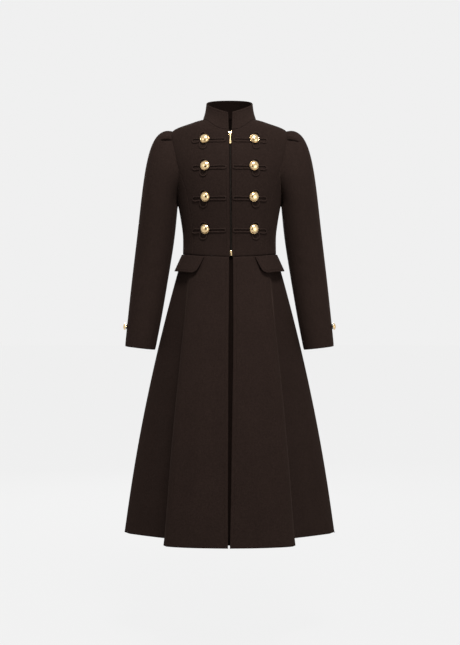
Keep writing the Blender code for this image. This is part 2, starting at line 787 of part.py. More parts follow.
def flap_point(u, v):
    """Flap from its hem (v = 0) to the waist seam (v = 1), from its front to its side end."""
    down = 1 - v
    top = [turn_at(x, waist_z(math.pi / 4)) for x in FLAP_TOP_X]
    front = top[0] + (FLAP_BOTTOM_TURN[0] - top[0]) * down
    side = top[1] + (FLAP_BOTTOM_TURN[1] - top[1]) * down
    rounding = max(0.0, (down - FLAP_CORNER) / (1 - FLAP_CORNER))
    front += FLAP_CORNER_TURN * rounding ** 2 * (1 - u)
    turn = front + (side - front) * u
    stand = FLAP_STAND_TOP + (FLAP_STAND_BOTTOM - FLAP_STAND_TOP) * down
    seam = body_point(turn, waist_z(turn) - HALF_GAP)
    half_width, depth, _ = body_section(seam.z)
    outward = Vector((seam.x / half_width ** 2, seam.y / depth ** 2, 0.0)).normalized()
    return seam + outward * stand - Vector((0.0, 0.0, FLAP_DROP * down))


def pocket_flap(side):
    name = "pocket_flap_left" if side > 0 else "pocket_flap_right"
    cloth_piece(name, flap_point, spaced(0, 1, FLAP_COLUMNS), FLAP_ROWS, side, wall=DOUBLE_CLOTH)


# Braid and buttons

def smooth_loop(half, steps):
    """Closed loop through an upper half and its mirror, with steps points a span."""
    loop = list(half) + [(along, -up) for along, up in reversed(half[1:-1])]
    count = len(loop)
    points = []
    for i in range(count):
        p0, p1, p2, p3 = (np.array(loop[(i + k) % count]) for k in (-1, 0, 1, 2))
        for step in range(steps):
            s = step / steps
            points.append(0.5 * (2 * p1 + (p2 - p0) * s + (2 * p0 - 5 * p1 + 4 * p2 - p3) * s * s
                                 + (3 * p1 - p0 - 3 * p2 + p3) * s ** 3))
    return points


def braid_loop(name, points):
    """Closed cord through points that already lie on the cloth."""
    curve = bpy.data.curves.new(name, "CURVE")
    curve.dimensions = "3D"
    curve.bevel_depth = BRAID / 2 * MM
    curve.bevel_resolution = 0
    spline = curve.splines.new("POLY")
    spline.points.add(len(points) - 1)
    for knot, point in zip(spline.points, points):
        knot.co = (*(point * MM), 1.0)
    spline.use_cyclic_u = True
    add_object(name, curve, BRAID_TRIM)


def button(name, seat, outward, diameter, height):
    """Dome button turned about its shank, its flat back on the seat."""
    radius = diameter / 2
    profile = [(0.0, height)]
    for degrees in DOME_DEGREES:
        angle = math.radians(degrees)
        profile.append((DOME_SHARE * radius * math.sin(angle),
                        BUTTON_RIM + (height - BUTTON_RIM) * math.cos(angle)))
    profile += [(radius, BUTTON_RIM), (DOME_SHARE * radius, 0.0), (0.0, 0.0)]
    bm = bmesh.new()
    verts = [bm.verts.new((x * MM, 0.0, z * MM)) for x, z in profile]
    for first, second in zip(verts, verts[1:]):
        bm.edges.new((first, second))
    piece = add_object(name, mesh_from(bm, name), GOLD)
    screw = piece.modifiers.new("turned", "SCREW")
    screw.steps = screw.render_steps = BUTTON_SIDES
    screw.use_merge_vertices = True
    screw.merge_threshold = 0.00001
    piece.location = seat * MM
    piece.rotation_euler = outward.to_track_quat("Z", "Y").to_euler()


def mirrored(point, side):
    return Vector((side * point.x, point.y, point.z))


def frogs(side):
    hand = "left" if side > 0 else "right"
    lie = BRAID / 2 + SEAM_GAP + FACET
    outline = smooth_loop(FROG_UPPER_HALF, 2)
    for number, (x, z) in enumerate(BUTTON_PLACES, start=1):
        middle_x, middle_z = x + FROG_FROM_BUTTON[0], z + FROG_FROM_BUTTON[1]
        points = [mirrored(front_point(middle_x + along, middle_z + up, lie), side)
                  for along, up in outline]
        braid_loop(f"frog_{hand}_{number}", points)
        seat = mirrored(front_point(x, z, BRAID + 2 * SEAM_GAP + FACET), side)
        outward = mirrored(normal_at(body_point, turn_at(x, z), z), side)
        button(f"button_{hand}_{number}", seat, outward, BUTTON_DIAMETER, BUTTON_HEIGHT)


def cuff_trim(side):
    hand = "left" if side > 0 else "right"
    along_sleeve = 1.0 + CUFF_BUTTON_RING
    length = SLEEVE_RINGS[0][0] - SLEEVE_RINGS[-1][0]

    def on_sleeve(across, up, out):
        angle = CUFF_BUTTON_ANGLE + across / CUFF_RADIUS
        return mirrored(surface_out(sleeve_point, angle, along_sleeve - up / length, -out), side)
    lie = BRAID / 2 + SEAM_GAP + FACET
    points = [on_sleeve(across, up, lie) for across, up in smooth_loop(CUFF_LOOP_UPPER_HALF, 3)]
    braid_loop(f"cuff_loop_{hand}", points)
    seat = on_sleeve(0.0, 0.0, BRAID + 2 * SEAM_GAP + FACET)
    outward = on_sleeve(0.0, 0.0, 1.0) - on_sleeve(0.0, 0.0, 0.0)
    button(f"cuff_button_{hand}", seat, outward, CUFF_BUTTON_DIAMETER, CUFF_BUTTON_HEIGHT)


# Zip

def zip_strip(name, left, right, low, high, out, depth, rows, finish):
    """Strip along the front line between two offsets from it, its face out from the cloth."""
    def surface(x, z):
        return front_point(front_line(z) + x, z, out)
    cloth_piece(name, surface, (left, right), spaced(low, high, rows), wall=depth, finish=finish)


def zip_tapes_and_chain():
    half = ZIP_CHAIN_WIDTH / 2
    behind = -CLOTH - SEAM_GAP - 3 * FACET
    zip_strip("zip_chain", -half, half, ZIP_BOTTOM, ZIP_TOP, 0.0, ZIP_CHAIN_DEPTH, ZIP_ROWS, ZIP_METAL)
    near, far = half + SEAM_GAP, half + SEAM_GAP + ZIP_TAPE_WIDTH
    for hand, left, right in (("left", near, far), ("right", -far, -near)):
        zip_strip(f"zip_tape_{hand}", left, right, ZIP_BOTTOM, ZIP_TOP + TAPE_ABOVE_CHAIN, behind,
                  ZIP_TAPE_DEPTH, ZIP_ROWS, ZIP_CLOTH)
    zip_strip("zip_bottom_box", -half, half, BOX_BOTTOM, ZIP_BOTTOM - SEAM_GAP, BOX_STAND,
              BOX_DEPTH, BOX_ROWS, GOLD)


def box_mesh(bm, size, middle):
    made = bmesh.ops.create_cube(bm, size=1.0)["verts"]
    for vert in made:
        vert.co = Vector(c * s + m for c, s, m in zip(vert.co, size, middle)) * MM


def rod_mesh(bm, radius, length, middle):
    turn = Matrix.Rotation(math.pi / 2, 4, "Y")
    place = Matrix.Translation(Vector(middle) * MM)
    bmesh.ops.create_cone(bm, cap_ends=True, segments=PIN_SIDES, radius1=radius * MM, radius2=radius * MM,
                          depth=length * MM, matrix=place @ turn)


def joined(piece, cutter_mesh, operation):
    """Boolean with a hidden helper."""
    helper = bpy.data.objects.new(piece.name + "_" + operation.lower(), cutter_mesh)
    helper.hide_render = True
    helper.display_type = "WIRE"
    helper.matrix_world = piece.matrix_world
    name = "coat_cutters"
    cutters = bpy.data.collections.get(name)
    if cutters is None:
        cutters = bpy.data.collections.new(name)
        bpy.context.scene.collection.children.link(cutters)
    cutters.objects.link(helper)
    boolean = piece.modifiers.new(operation.lower(), "BOOLEAN")
    boolean.object = helper
    boolean.operation = operation


def slider_frame():
    """Place and turn of the slider: its own -Y points out from the chest, +Z up the zip."""
    z = SLIDER_TOP - SLIDER_HEIGHT / 2
    x = front_line(z)
    seat = front_point(x, z, SEAM_GAP + FACET / 2)
    up = front_point(x, SLIDER_TOP, 0.0) - front_point(x, SLIDER_TOP - SLIDER_HEIGHT, 0.0)
    lean = math.atan2(up.y, up.z)
    return Matrix.Translation(seat * MM) @ Matrix.Rotation(-lean, 4, "X")


def pin_height():
    return SLIDER_HEIGHT / 2 - PIN_BELOW_TOP


def zip_slider():
    bm = bmesh.new()
    box_mesh(bm, (SLIDER_WIDTH, SLIDER_DEPTH, SLIDER_HEIGHT), (0, -SLIDER_DEPTH / 2, 0))
    slider = add_object("zip_slider", mesh_from(bm, "zip_slider"), GOLD)
    slider.matrix_world = slider_frame()
    reach = PIN_OVER_FACE + EAR_PAST_PIN
    ear_middle = -SLIDER_DEPTH - (reach - EAR_ROOT) / 2
    for number, hand in enumerate((-1, 1)):
        ear = bmesh.new()
        ear_x = hand * ((SLIDER_WIDTH - EAR_WIDTH) / 2 - EAR_INSET)
        box_mesh(ear, (EAR_WIDTH, reach + EAR_ROOT, EAR_HEIGHT), (ear_x, ear_middle, pin_height()))
        joined(slider, mesh_from(ear, f"ear_{number}"), "UNION")
    pin = bmesh.new()
    rod_mesh(pin, PIN_RADIUS, SLIDER_WIDTH - EAR_WIDTH, (0, -SLIDER_DEPTH - PIN_OVER_FACE, pin_height()))
    joined(slider, mesh_from(pin, "pin"), "UNION")


def zip_pull_tab():
    """Tab with its own origin on the pin, leaning on the chest below the slider."""
    bm = bmesh.new()
    plate_top = TAB_EYE_LAP - TAB_EYE_OUTER
    plate = TAB_LENGTH - TAB_EYE_OUTER + plate_top
    box_mesh(bm, (TAB_WIDTH, TAB_DEPTH, plate), (0, 0, plate_top - plate / 2))
    tab = add_object("zip_pull_tab", mesh_from(bm, "zip_pull_tab"), GOLD)
    pin = Matrix.Translation(Vector((0, -SLIDER_DEPTH - PIN_OVER_FACE, pin_height())) * MM)
    tab.matrix_world = slider_frame() @ pin @ Matrix.Rotation(TAB_LEAN, 4, "X")
    barrel = bmesh.new()
    rod_mesh(barrel, TAB_EYE_OUTER, TAB_EYE_WIDTH, (0, 0, 0))
    joined(tab, mesh_from(barrel, "eye_barrel"), "UNION")
    hole = bmesh.new()
    rod_mesh(hole, TAB_EYE_RADIUS, 2 * TAB_EYE_WIDTH, (0, 0, 0))
    joined(tab, mesh_from(hole, "eye_hole"), "DIFFERENCE")


def build_coat():
    clear_scene()
    collar()
    bodice_back()
    skirt_back()
    skirt_underlap()
    for side in (1, -1):
        bodice_front(side)
        bodice_side(side, behind=False)
        bodice_side(side, behind=True)
        sleeve(side)
        skirt_front(side)
        pocket_flap(side)
        frogs(side)
        cuff_trim(side)
    zip_tapes_and_chain()
    zip_slider()
    zip_pull_tab()


build_coat()
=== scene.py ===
# %% [markdown]
# # A fit-and-flare military coat
#
# The coat is dark brown felted wool, filled out as if somebody wore it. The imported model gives
# every panel its cut and place. Here the panels become soft cloth, and the trim gets its fine form:
# plaited braid, turned buttons, zip teeth and the sewing.

# %% The frame
import json
import math

import bmesh
import bpy
import numpy as np
from mathutils import Matrix, Vector
from mathutils.bvhtree import BVHTree
from mathutils.kdtree import KDTree


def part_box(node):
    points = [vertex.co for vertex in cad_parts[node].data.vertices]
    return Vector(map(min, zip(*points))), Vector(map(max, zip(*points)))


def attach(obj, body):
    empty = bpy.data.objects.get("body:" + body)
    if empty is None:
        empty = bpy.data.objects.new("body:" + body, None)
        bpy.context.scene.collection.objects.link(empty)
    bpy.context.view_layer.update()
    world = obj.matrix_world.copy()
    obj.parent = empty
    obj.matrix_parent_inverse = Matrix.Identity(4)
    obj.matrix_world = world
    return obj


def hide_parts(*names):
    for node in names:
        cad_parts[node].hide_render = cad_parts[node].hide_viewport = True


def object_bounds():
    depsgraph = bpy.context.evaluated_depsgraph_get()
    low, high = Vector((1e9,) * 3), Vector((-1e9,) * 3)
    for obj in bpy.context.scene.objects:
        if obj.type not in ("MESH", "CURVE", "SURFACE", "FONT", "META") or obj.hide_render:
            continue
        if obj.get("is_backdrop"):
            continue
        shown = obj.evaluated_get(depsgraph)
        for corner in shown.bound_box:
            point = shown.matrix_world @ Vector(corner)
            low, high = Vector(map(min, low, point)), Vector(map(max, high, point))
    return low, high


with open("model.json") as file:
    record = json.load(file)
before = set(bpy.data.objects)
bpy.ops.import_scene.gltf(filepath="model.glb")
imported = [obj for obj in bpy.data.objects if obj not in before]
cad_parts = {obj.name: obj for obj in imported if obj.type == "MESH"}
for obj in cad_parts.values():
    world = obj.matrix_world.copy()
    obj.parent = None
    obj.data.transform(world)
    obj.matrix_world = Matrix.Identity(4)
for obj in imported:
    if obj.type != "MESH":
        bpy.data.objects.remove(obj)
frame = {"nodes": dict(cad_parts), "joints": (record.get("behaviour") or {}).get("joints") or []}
cad_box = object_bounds()
scene = bpy.context.scene
MM = 0.001
HANDS = ("left", "right")
print("coat box in mm:", [[round(v / MM) for v in corner] for corner in cad_box])

# %% [markdown]
# ## Camera
#
# The coat was photographed straight on, from a few metres away, with the lens level with its middle.
# A longer lens could stand further off, but at three metres the front of the hem hangs a little lower
# in the picture than its sides, as it does in the photograph.

# %% Camera
CAMERA_PLACE = (0.0014, -3.0, -0.554)
LENS_MM = 60.9

camera = bpy.data.objects.new("camera", bpy.data.cameras.new("camera"))
camera.data.sensor_width = 36.0
camera.data.lens = LENS_MM
camera.location = CAMERA_PLACE
camera.rotation_euler = (math.pi / 2, 0.0, 0.0)
scene.collection.objects.link(camera)
scene.camera = camera
print("camera at", CAMERA_PLACE)

# %% [markdown]
# ## Studio
#
# A pale room lights the dark wool from all round, and one soft lamp above the camera is stronger than
# the room, so that folds, braid and seams have a light and a dark side. A large dim lamp low on the
# right gives each button its highlight, and one behind shows the coat's back. The floor is a wide pale
# disc well below the hem. It glows as the room does, so that the coat seems to hang in front of one
# even grey. A dark screen stands behind the camera, out of the picture: polished metal looks like
# metal only when it has something dark to reflect.

# %% Studio
ROOM_GREY = 0.871
COAT_MIDDLE = Vector((0.0, 0.0, -0.5))
# place, width and power of each lamp, in metres and watts
LAMPS = {
    "key_lamp": ((0.35, -2.1, 2.45), 1.0, 234.0),
    "low_lamp": ((1.5, -1.7, -0.6), 1.7, 15.0),
    "fill_lamp": ((-2.0, -2.4, 0.4), 1.6, 8.0),
    "back_lamp": ((-0.5, 3.0, 0.5), 1.6, 160.0),
}

scene.view_settings.view_transform = "Standard"
room = bpy.data.worlds.new("pale_room")
room.use_nodes = True
room.node_tree.nodes["Background"].inputs["Color"].default_value = (ROOM_GREY, ROOM_GREY, ROOM_GREY, 1.0)
scene.world = room


def soft_lamp(name, place, size, watts):
    lamp = bpy.data.objects.new(name, bpy.data.lights.new(name, "AREA"))
    lamp.data.shape = "DISK"
    lamp.data.size = size
    lamp.data.energy = watts
    lamp.location = place
    lamp.rotation_euler = (COAT_MIDDLE - Vector(place)).to_track_quat("-Z", "Y").to_euler()
    scene.collection.objects.link(lamp)


for lamp_name, lamp_facts in LAMPS.items():
    soft_lamp(lamp_name, *lamp_facts)
print("lamps:", *LAMPS)

# %% Floor and screen
FLOOR_BELOW_HEM = 0.30
FLOOR_RADIUS = 40.0
FLOOR_GREY = 0.012
FLOOR_GLOW = 0.853
SCREEN_RADIUS = 1.3
SCREEN_PLACE = (-0.9, -3.5, -0.75)
SCREEN_GREY = 0.004
DISC_SIDES = 64


def mesh_from(bm, name):
    """A new mesh from a finished bmesh, which is then let go."""
    mesh = bpy.data.meshes.new(name)
    bm.to_mesh(mesh)
    bm.free()
    return mesh


def studio_disc(name, radius, place, grey, glow):
    """A wide matt disc that belongs to the studio and not to the coat."""
    bm = bmesh.new()
    bmesh.ops.create_circle(bm, cap_ends=True, segments=DISC_SIDES, radius=radius, matrix=place)
    mesh = mesh_from(bm, name)
    paint = bpy.data.materials.new(name)
    paint.use_nodes = True
    shader = paint.node_tree.nodes["Principled BSDF"]
    shader.inputs["Base Color"].default_value = (grey, grey, grey, 1.0)
    shader.inputs["Roughness"].default_value = 1.0
    shader.inputs["Specular IOR Level"].default_value = 0.0
    shader.inputs["Emission Color"].default_value = (1.0, 1.0, 1.0, 1.0)
    shader.inputs["Emission Strength"].default_value = glow
    mesh.materials.append(paint)
    disc = bpy.data.objects.new(name, mesh)
    scene.collection.objects.link(disc)
    disc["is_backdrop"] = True
    return disc


floor_height = cad_box[0].z - FLOOR_BELOW_HEM
floor_place = Matrix.Translation((0.0, 0.0, floor_height))
studio_disc("pale_floor", FLOOR_RADIUS, floor_place, FLOOR_GREY, FLOOR_GLOW)
upright = Matrix.Translation(SCREEN_PLACE) @ Matrix.Rotation(math.pi / 2, 4, "X")
dark_screen = studio_disc("dark_screen", SCREEN_RADIUS, upright, SCREEN_GREY, 0.0)
dark_screen.visible_camera = False
print("floor at", round(floor_height, 3), "m")

# %% [markdown]
# ## Finishes
#
# Felted wool has no weave to see: it is a mat of short fibres with a soft nap. Noise at three scales
# gives it that: single fibres, small clumps and broad cloudy patches. A picture of cloth could do the
# same, but noise has no joins and follows the coat at any size. The nap lies downwards, so the fibre
# noise is drawn out along the height.

# %% Finish helpers
def new_finish(name):
    """A new finish: its node tree, its shader and the coat's own coordinates."""
    finish = bpy.data.materials.new(name)
    finish.use_nodes = True
    tree = finish.node_tree
    place = tree.nodes.new("ShaderNodeTexCoord")
    return finish, tree, tree.nodes["Principled BSDF"], place.outputs["Object"]


def noise(tree, where, scale, detail, stretch=(1.0, 1.0, 1.0)):
    """Noise with about so many grains to the metre, finer where the stretch is larger."""
    mapping = tree.nodes.new("ShaderNodeMapping")
    mapping.inputs["Scale"].default_value = stretch
    tree.links.new(where, mapping.inputs["Vector"])
    grain = tree.nodes.new("ShaderNodeTexNoise")
    grain.inputs["Scale"].default_value = scale
    grain.inputs["Detail"].default_value = detail
    grain.inputs["Roughness"].default_value = 0.6
    tree.links.new(mapping.outputs["Vector"], grain.inputs["Vector"])
    return grain.outputs["Fac"]


def shades(tree, value, low, high):
    """Colour that runs from a low to a high stop, each a place and a colour."""
    ramp = tree.nodes.new("ShaderNodeValToRGB")
    for element, (place, colour) in zip(ramp.color_ramp.elements, (low, high)):
        element.position = place
        element.color = (*colour, 1.0)
    tree.links.new(value, ramp.inputs["Fac"])
    return ramp.outputs["Color"]


def blended(tree, first, second, share, mode):
    mix = tree.nodes.new("ShaderNodeMix")
    mix.data_type = "RGBA"
    mix.blend_type = mode
    mix.inputs["Factor"].default_value = share
    tree.links.new(first, mix.inputs[6])
    tree.links.new(second, mix.inputs[7])
    return mix.outputs[2]


def added(tree, first, second, share):
    """The first value plus a share of the second."""
    total = tree.nodes.new("ShaderNodeMath")
    total.operation = "MULTIPLY_ADD"
    total.inputs[1].default_value = share
    tree.links.new(second, total.inputs[0])
    tree.links.new(first, total.inputs[2])
    return total.outputs["Value"]


def raise_by(tree, shader, height, distance, strength):
    bump = tree.nodes.new("ShaderNodeBump")
    bump.inputs["Distance"].default_value = distance
    bump.inputs["Strength"].default_value = strength
    tree.links.new(height, bump.inputs["Height"])
    tree.links.new(bump.outputs["Normal"], shader.inputs["Normal"])


# %% Cloth finishes
FIBRES, CLUMPS, CLOUDS = 900.0, 300.0, 16.0      # grains to the metre
NAP_STRETCH = (1.0, 1.0, 0.45)
# dark fibres, light fibres and loose hairs of each wool
WOOLS = {
    "brown_wool": ((0.0092, 0.0056, 0.0045), (0.0138, 0.0086, 0.0070), (0.014, 0.009, 0.0075)),
    # the braid is lighter than the wool: partly the braid's own colour, partly painted light that lifts the
    # shade between its plaited strands
    "brown_braid": ((0.0135, 0.0084, 0.0068), (0.0225, 0.0142, 0.0115), (0.014, 0.009, 0.0075)),
    "brown_thread": ((0.0100, 0.0062, 0.0050), (0.0170, 0.0107, 0.0087), (0.012, 0.008, 0.007)),
    # painted shade: an almost black wool for the inner faces and for the strip behind the front slit, so
    # that the inside of the coat and the slit look deep in shade
    "painted_shade_wool": ((0.0030, 0.0017, 0.0013), (0.0056, 0.0031, 0.0024), (0.004, 0.0024, 0.002)),
}
RIBS = 420.0                                     # of the zip's tape


def wool_finish(name, dark, light, hair):
    finish, tree, shader, where = new_finish(name)
    fibres = noise(tree, where, FIBRES, 4.0, stretch=NAP_STRETCH)
    clumps = noise(tree, where, CLUMPS, 4.0)
    clouds = noise(tree, where, CLOUDS, 1.0)
    body = shades(tree, clumps, (0.36, dark), (0.68, light))
    patches = shades(tree, clouds, (0.3, (0.93, 0.93, 0.93)), (0.72, (1.0, 1.0, 1.0)))
    body = blended(tree, body, patches, 1.0, "MULTIPLY")
    hairs = shades(tree, fibres, (0.6, (0.0, 0.0, 0.0)), (0.74, hair))
    tree.links.new(blended(tree, body, hairs, 0.5, "ADD"), shader.inputs["Base Color"])
    raise_by(tree, shader, added(tree, fibres, clumps, 1.2), 0.7 * MM, 0.55)
    shader.inputs["Roughness"].default_value = 0.95
    shader.inputs["Specular IOR Level"].default_value = 0.02
    shader.inputs["Sheen Weight"].default_value = 0.05
    shader.inputs["Sheen Roughness"].default_value = 0.4
    shader.inputs["Sheen Tint"].default_value = (0.42, 0.28, 0.22, 1.0)
    return finish


def twill_finish():
    """Narrow woven tape: fine slanting ribs."""
    finish, tree, shader, where = new_finish("zip_twill")
    ribs = tree.nodes.new("ShaderNodeTexWave")
    ribs.bands_direction = "DIAGONAL"
    ribs.inputs["Scale"].default_value = RIBS
    ribs.inputs["Distortion"].default_value = 0.4
    tree.links.new(where, ribs.inputs["Vector"])
    colour = shades(tree, ribs.outputs["Fac"], (0.2, (0.006, 0.0045, 0.004)), (0.8, (0.018, 0.013, 0.011)))
    tree.links.new(colour, shader.inputs["Base Color"])
    raise_by(tree, shader, ribs.outputs["Fac"], 0.25 * MM, 0.6)
    shader.inputs["Roughness"].default_value = 0.85
    return finish


wool, lightened_braid_yarn, thread, shade_wool = (wool_finish(name, *colours) for name, colours in WOOLS.items())
zip_twill = twill_finish()
print("cloth finishes:", wool.name, shade_wool.name, lightened_braid_yarn.name, thread.name, zip_twill.name)

# %% [markdown]
# The buttons and the zip's slider are polished and gold in colour. One even gold would look like
# plastic. Handling leaves faint tarnish and hairline rubbing, so colour and roughness vary a little.
# The teeth are blackened metal that has worn brighter in spots.

# %% Metal finishes
TARNISH, RUBBING, WEAR = 260.0, 1500.0, 700.0    # grains to the metre
RUBBING_STRETCH = (1.0, 0.15, 0.15)


def gold_finish():
    finish, tree, shader, where = new_finish("polished_gold")
    tarnish = noise(tree, where, TARNISH, 4.0)
    colour = shades(tree, tarnish, (0.3, (0.66, 0.46, 0.22)), (0.7, (0.84, 0.64, 0.38)))
    tree.links.new(colour, shader.inputs["Base Color"])
    rubbing = noise(tree, where, RUBBING, 2.0, stretch=RUBBING_STRETCH)
    haze = tree.nodes.new("ShaderNodeMapRange")
    haze.inputs["To Min"].default_value = 0.08
    haze.inputs["To Max"].default_value = 0.24
    tree.links.new(rubbing, haze.inputs["Value"])
    tree.links.new(haze.outputs["Result"], shader.inputs["Roughness"])
    shader.inputs["Metallic"].default_value = 1.0
    return finish


def blackened_finish():
    finish, tree, shader, where = new_finish("blackened_metal")
    wear = noise(tree, where, WEAR, 3.0)
    colour = shades(tree, wear, (0.35, (0.008, 0.006, 0.005)), (0.75, (0.036, 0.028, 0.023)))
    tree.links.new(colour, shader.inputs["Base Color"])
    shader.inputs["Metallic"].default_value = 0.9
    shader.inputs["Roughness"].default_value = 0.42
    return finish


gold = gold_finish()
zip_metal = blackened_finish()
print("metal finishes:", gold.name, zip_metal.name)

# %% [markdown]
# ## From a stiff panel to soft cloth
#
# A packed panel is a wall of flat triangles with an outer sheet, an inner sheet and a rim between them.
# Smoothing the whole wall would round its rim away. So only the outer sheet is kept: faces belong
# together where they meet at a shallow angle, and the largest group of them is the outer sheet.
# Its triangles are joined back into the squares that they were cut from, because a Subdivision Surface
# is smoothest on squares. Solidify gives the cloth its thickness again at the end.

# %% Outer sheet
SHEET_BEND = math.radians(47.0)  # faces that meet at less than this are in one sheet
CORNER = math.radians(161.0)     # an outline that bends harder than this has a corner there
WELD = 0.002 * MM
NARROW_CUTS = 3
CUT_SNAP = 0.02 * MM


def outer_sheet(node):
    """The outer faces of a packed panel, as a bmesh."""
    bm = bmesh.new()
    bm.from_mesh(frame["nodes"][node].data)
    bmesh.ops.remove_doubles(bm, verts=bm.verts[:], dist=WELD)
    left = dict.fromkeys(bm.faces)
    groups = []
    while left:
        group = [left.popitem()[0]]
        for face in group:
            for edge in face.edges:
                if edge.calc_face_angle(math.pi) < SHEET_BEND:
                    near = [other for other in edge.link_faces if other in left]
                    group += near
                    for other in near:
                        del left[other]
        groups.append(group)
    outer = set(max(groups, key=lambda group: sum(face.calc_area() for face in group)))
    # a sliver has no clear direction of its own, so it goes with the sheet that it lies in
    outer.update([face for face in bm.faces if face not in outer
                  and sum(any(near in outer for near in edge.link_faces) for edge in face.edges) > 1])
    bmesh.ops.delete(bm, geom=[face for face in bm.faces if face not in outer], context="FACES")
    return bm


def join_squares(bm):
    """Takes out the slanting edge of each square, from square to square, starting at a corner."""
    corner = next(face for face in bm.faces if sum(edge.is_boundary for edge in face.edges) == 2)
    slants = [next(edge for edge in corner.edges if not edge.is_boundary)]
    done = set(slants[0].link_faces)
    for slant in slants:
        for face in slant.link_faces:
            for edge in face.edges:
                if edge is slant or edge.is_boundary:
                    continue
                other = next(f for f in edge.link_faces if f is not face)
                pivot = next(v for v in edge.verts if v not in slant.verts)
                turn = next(e for e in other.edges if e is not edge and pivot in e.verts)
                if other in done or turn.is_boundary or any(f in done for f in turn.link_faces):
                    continue
                done.update(turn.link_faces)
                slants.append(turn)
    bmesh.ops.dissolve_edges(bm, edges=slants, use_verts=False)


def narrow_columns(bm, wanted):
    """Splits the squares along some open edges into narrower columns."""
    rim = set()
    for edge in bm.edges:
        if edge.is_boundary and wanted(*edge_facts(edge)):
            rim.update(edge.verts)
    ring = [edge for edge in bm.edges if (edge.verts[0] in rim) != (edge.verts[1] in rim)]
    bmesh.ops.subdivide_edges(bm, edges=ring, cuts=NARROW_CUTS)


def smooth_mesh(bm, name, levels, corner):
    """The sheet as a Subdivision Surface makes it, with its outline's corners kept, as a new mesh."""
    kept = bm.verts.layers.float.new("crease_vert")
    for vert in bm.verts:
        rim = [edge.other_vert(vert).co - vert.co for edge in vert.link_edges if edge.is_boundary]
        if len(rim) == 2 and rim[0].angle(rim[1]) < corner:
            vert[kept] = 1.0
    cage = bpy.data.objects.new(name + "_cage", mesh_from(bm, name + "_cage"))
    scene.collection.objects.link(cage)
    rounder = cage.modifiers.new("rounder", "SUBSURF")
    rounder.levels = rounder.render_levels = levels
    rounder.boundary_smooth = "PRESERVE_CORNERS"
    mesh = bpy.data.meshes.new_from_object(cage.evaluated_get(bpy.context.evaluated_depsgraph_get()))
    mesh.name = name
    bpy.data.objects.remove(cage)
    return mesh


def cut_along(mesh, planes):
    """Extra lines in the cloth where planes cross it, each a point and a direction."""
    bm = bmesh.new()
    bm.from_mesh(mesh)
    for point, across in planes:
        bmesh.ops.bisect_plane(bm, geom=bm.verts[:] + bm.edges[:] + bm.faces[:], dist=CUT_SNAP,
                               plane_co=point, plane_no=across)
    bm.to_mesh(mesh)
    bm.free()


# %% [markdown]
# Soft creases are short lines with a width and a height, given one by one: a trough has a negative
# height. A cloth simulation would make creases of its own, but not these ones in these places.

# %% Edges and creases
SAMPLE = 0.7 * MM                # step along an open edge
FADE_END = 0.02                  # a crease fades out towards both ends, but not to nothing
FADE_POWER = 0.7


def edge_facts(edge):
    """An open edge's middle, its run and the way from it into the cloth."""
    start, end = edge.verts[0].co, edge.verts[1].co
    middle, run = (start + end) / 2, (end - start).normalized()
    inward = edge.link_faces[0].calc_center_median() - middle
    return middle, run, (inward - run * inward.dot(run)).normalized()


def edge_samples(mesh, wanted=None):
    """Places along the open edges, each with the cloth's normal and the way into the cloth."""
    bm = bmesh.new()
    bm.from_mesh(mesh)
    samples = []
    for edge in bm.edges:
        if not edge.is_boundary:
            continue
        facts = edge_facts(edge)
        if wanted is None or wanted(*facts):
            start, end = edge.verts[0].co.copy(), edge.verts[1].co.copy()
            normal = edge.link_faces[0].normal.copy()
            steps = max(1, math.ceil((end - start).length / SAMPLE))
            samples += [(start.lerp(end, i / steps), normal, facts[2]) for i in range(steps + 1)]
    bm.free()
    return samples


def tree_of(places):
    tree = KDTree(len(places))
    for i, place in enumerate(places):
        tree.insert(place, i)
    tree.balance()
    return tree


def points_and_normals(mesh):
    points = np.zeros(len(mesh.vertices) * 3, np.float32)
    normals = np.zeros(len(mesh.vertices) * 3, np.float32)
    mesh.vertices.foreach_get("co", points)
    mesh.vertex_normals.foreach_get("vector", normals)
    return points.reshape(-1, 3).astype(float), normals.reshape(-1, 3).astype(float)


def set_points(mesh, points):
    mesh.vertices.foreach_set("co", points.astype(np.float32).ravel())
    mesh.update()


def crease_heights(points, rows):
    """Height of soft creases at each point: start, end, half width and height of each, in millimetres."""
    heights = np.zeros(len(points))
    for start, end, width, height in rows:
        start, run = np.array(start) * MM, (np.array(end) - np.array(start)) * MM
        along = np.clip((points - start) @ run / (run @ run), 0.0, 1.0)
        off = np.linalg.norm(points - start - along[:, None] * run, axis=1)
        fade = np.sin(np.pi * np.clip(along, FADE_END, 1 - FADE_END)) ** FADE_POWER
        heights += height * MM * fade * np.exp(-((off / (width * MM)) ** 2))
    return heights


def other_side(rows):
    """The same creases mirrored to the other side of the coat."""
    return [((-a[0], *a[1:]), (-b[0], *b[1:]), width, height) for a, b, width, height in rows]


sheets = {}


def cut_panel(node, levels=3, rows=(), narrowed=None, planes=(), corner=CORNER):
    """One panel's outer sheet, smooth and creased."""
    bm = outer_sheet(node)
    join_squares(bm)
    if narrowed is not None:
        narrow_columns(bm, narrowed)
    mesh = smooth_mesh(bm, node + "_cloth", levels, corner)
    cut_along(mesh, planes)
    points, normals = points_and_normals(mesh)
    set_points(mesh, points + normals * crease_heights(points, rows)[:, None])
    sheets[node] = mesh
    print(f"{node}: {len(mesh.polygons)} faces, {sum(p.area for p in mesh.polygons):.4f} m2")


# %% [markdown]
# ## Collar
#
# The stand collar is sewn double, and it is stitched close to its upper edge and its two ends. Its
# corners are turned by hand and come out round, so fewer of them are kept sharp than on other panels.
# Bending a flat strip round the neck would also do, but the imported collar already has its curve.

# %% Collar
FRONT_EDGE_REACH = 16.0 * MM     # the two fronts' edges lie this near the middle
UPRIGHT = 0.8                    # least upward share of the run of a front edge
ROUND_CORNER = math.radians(110.0)


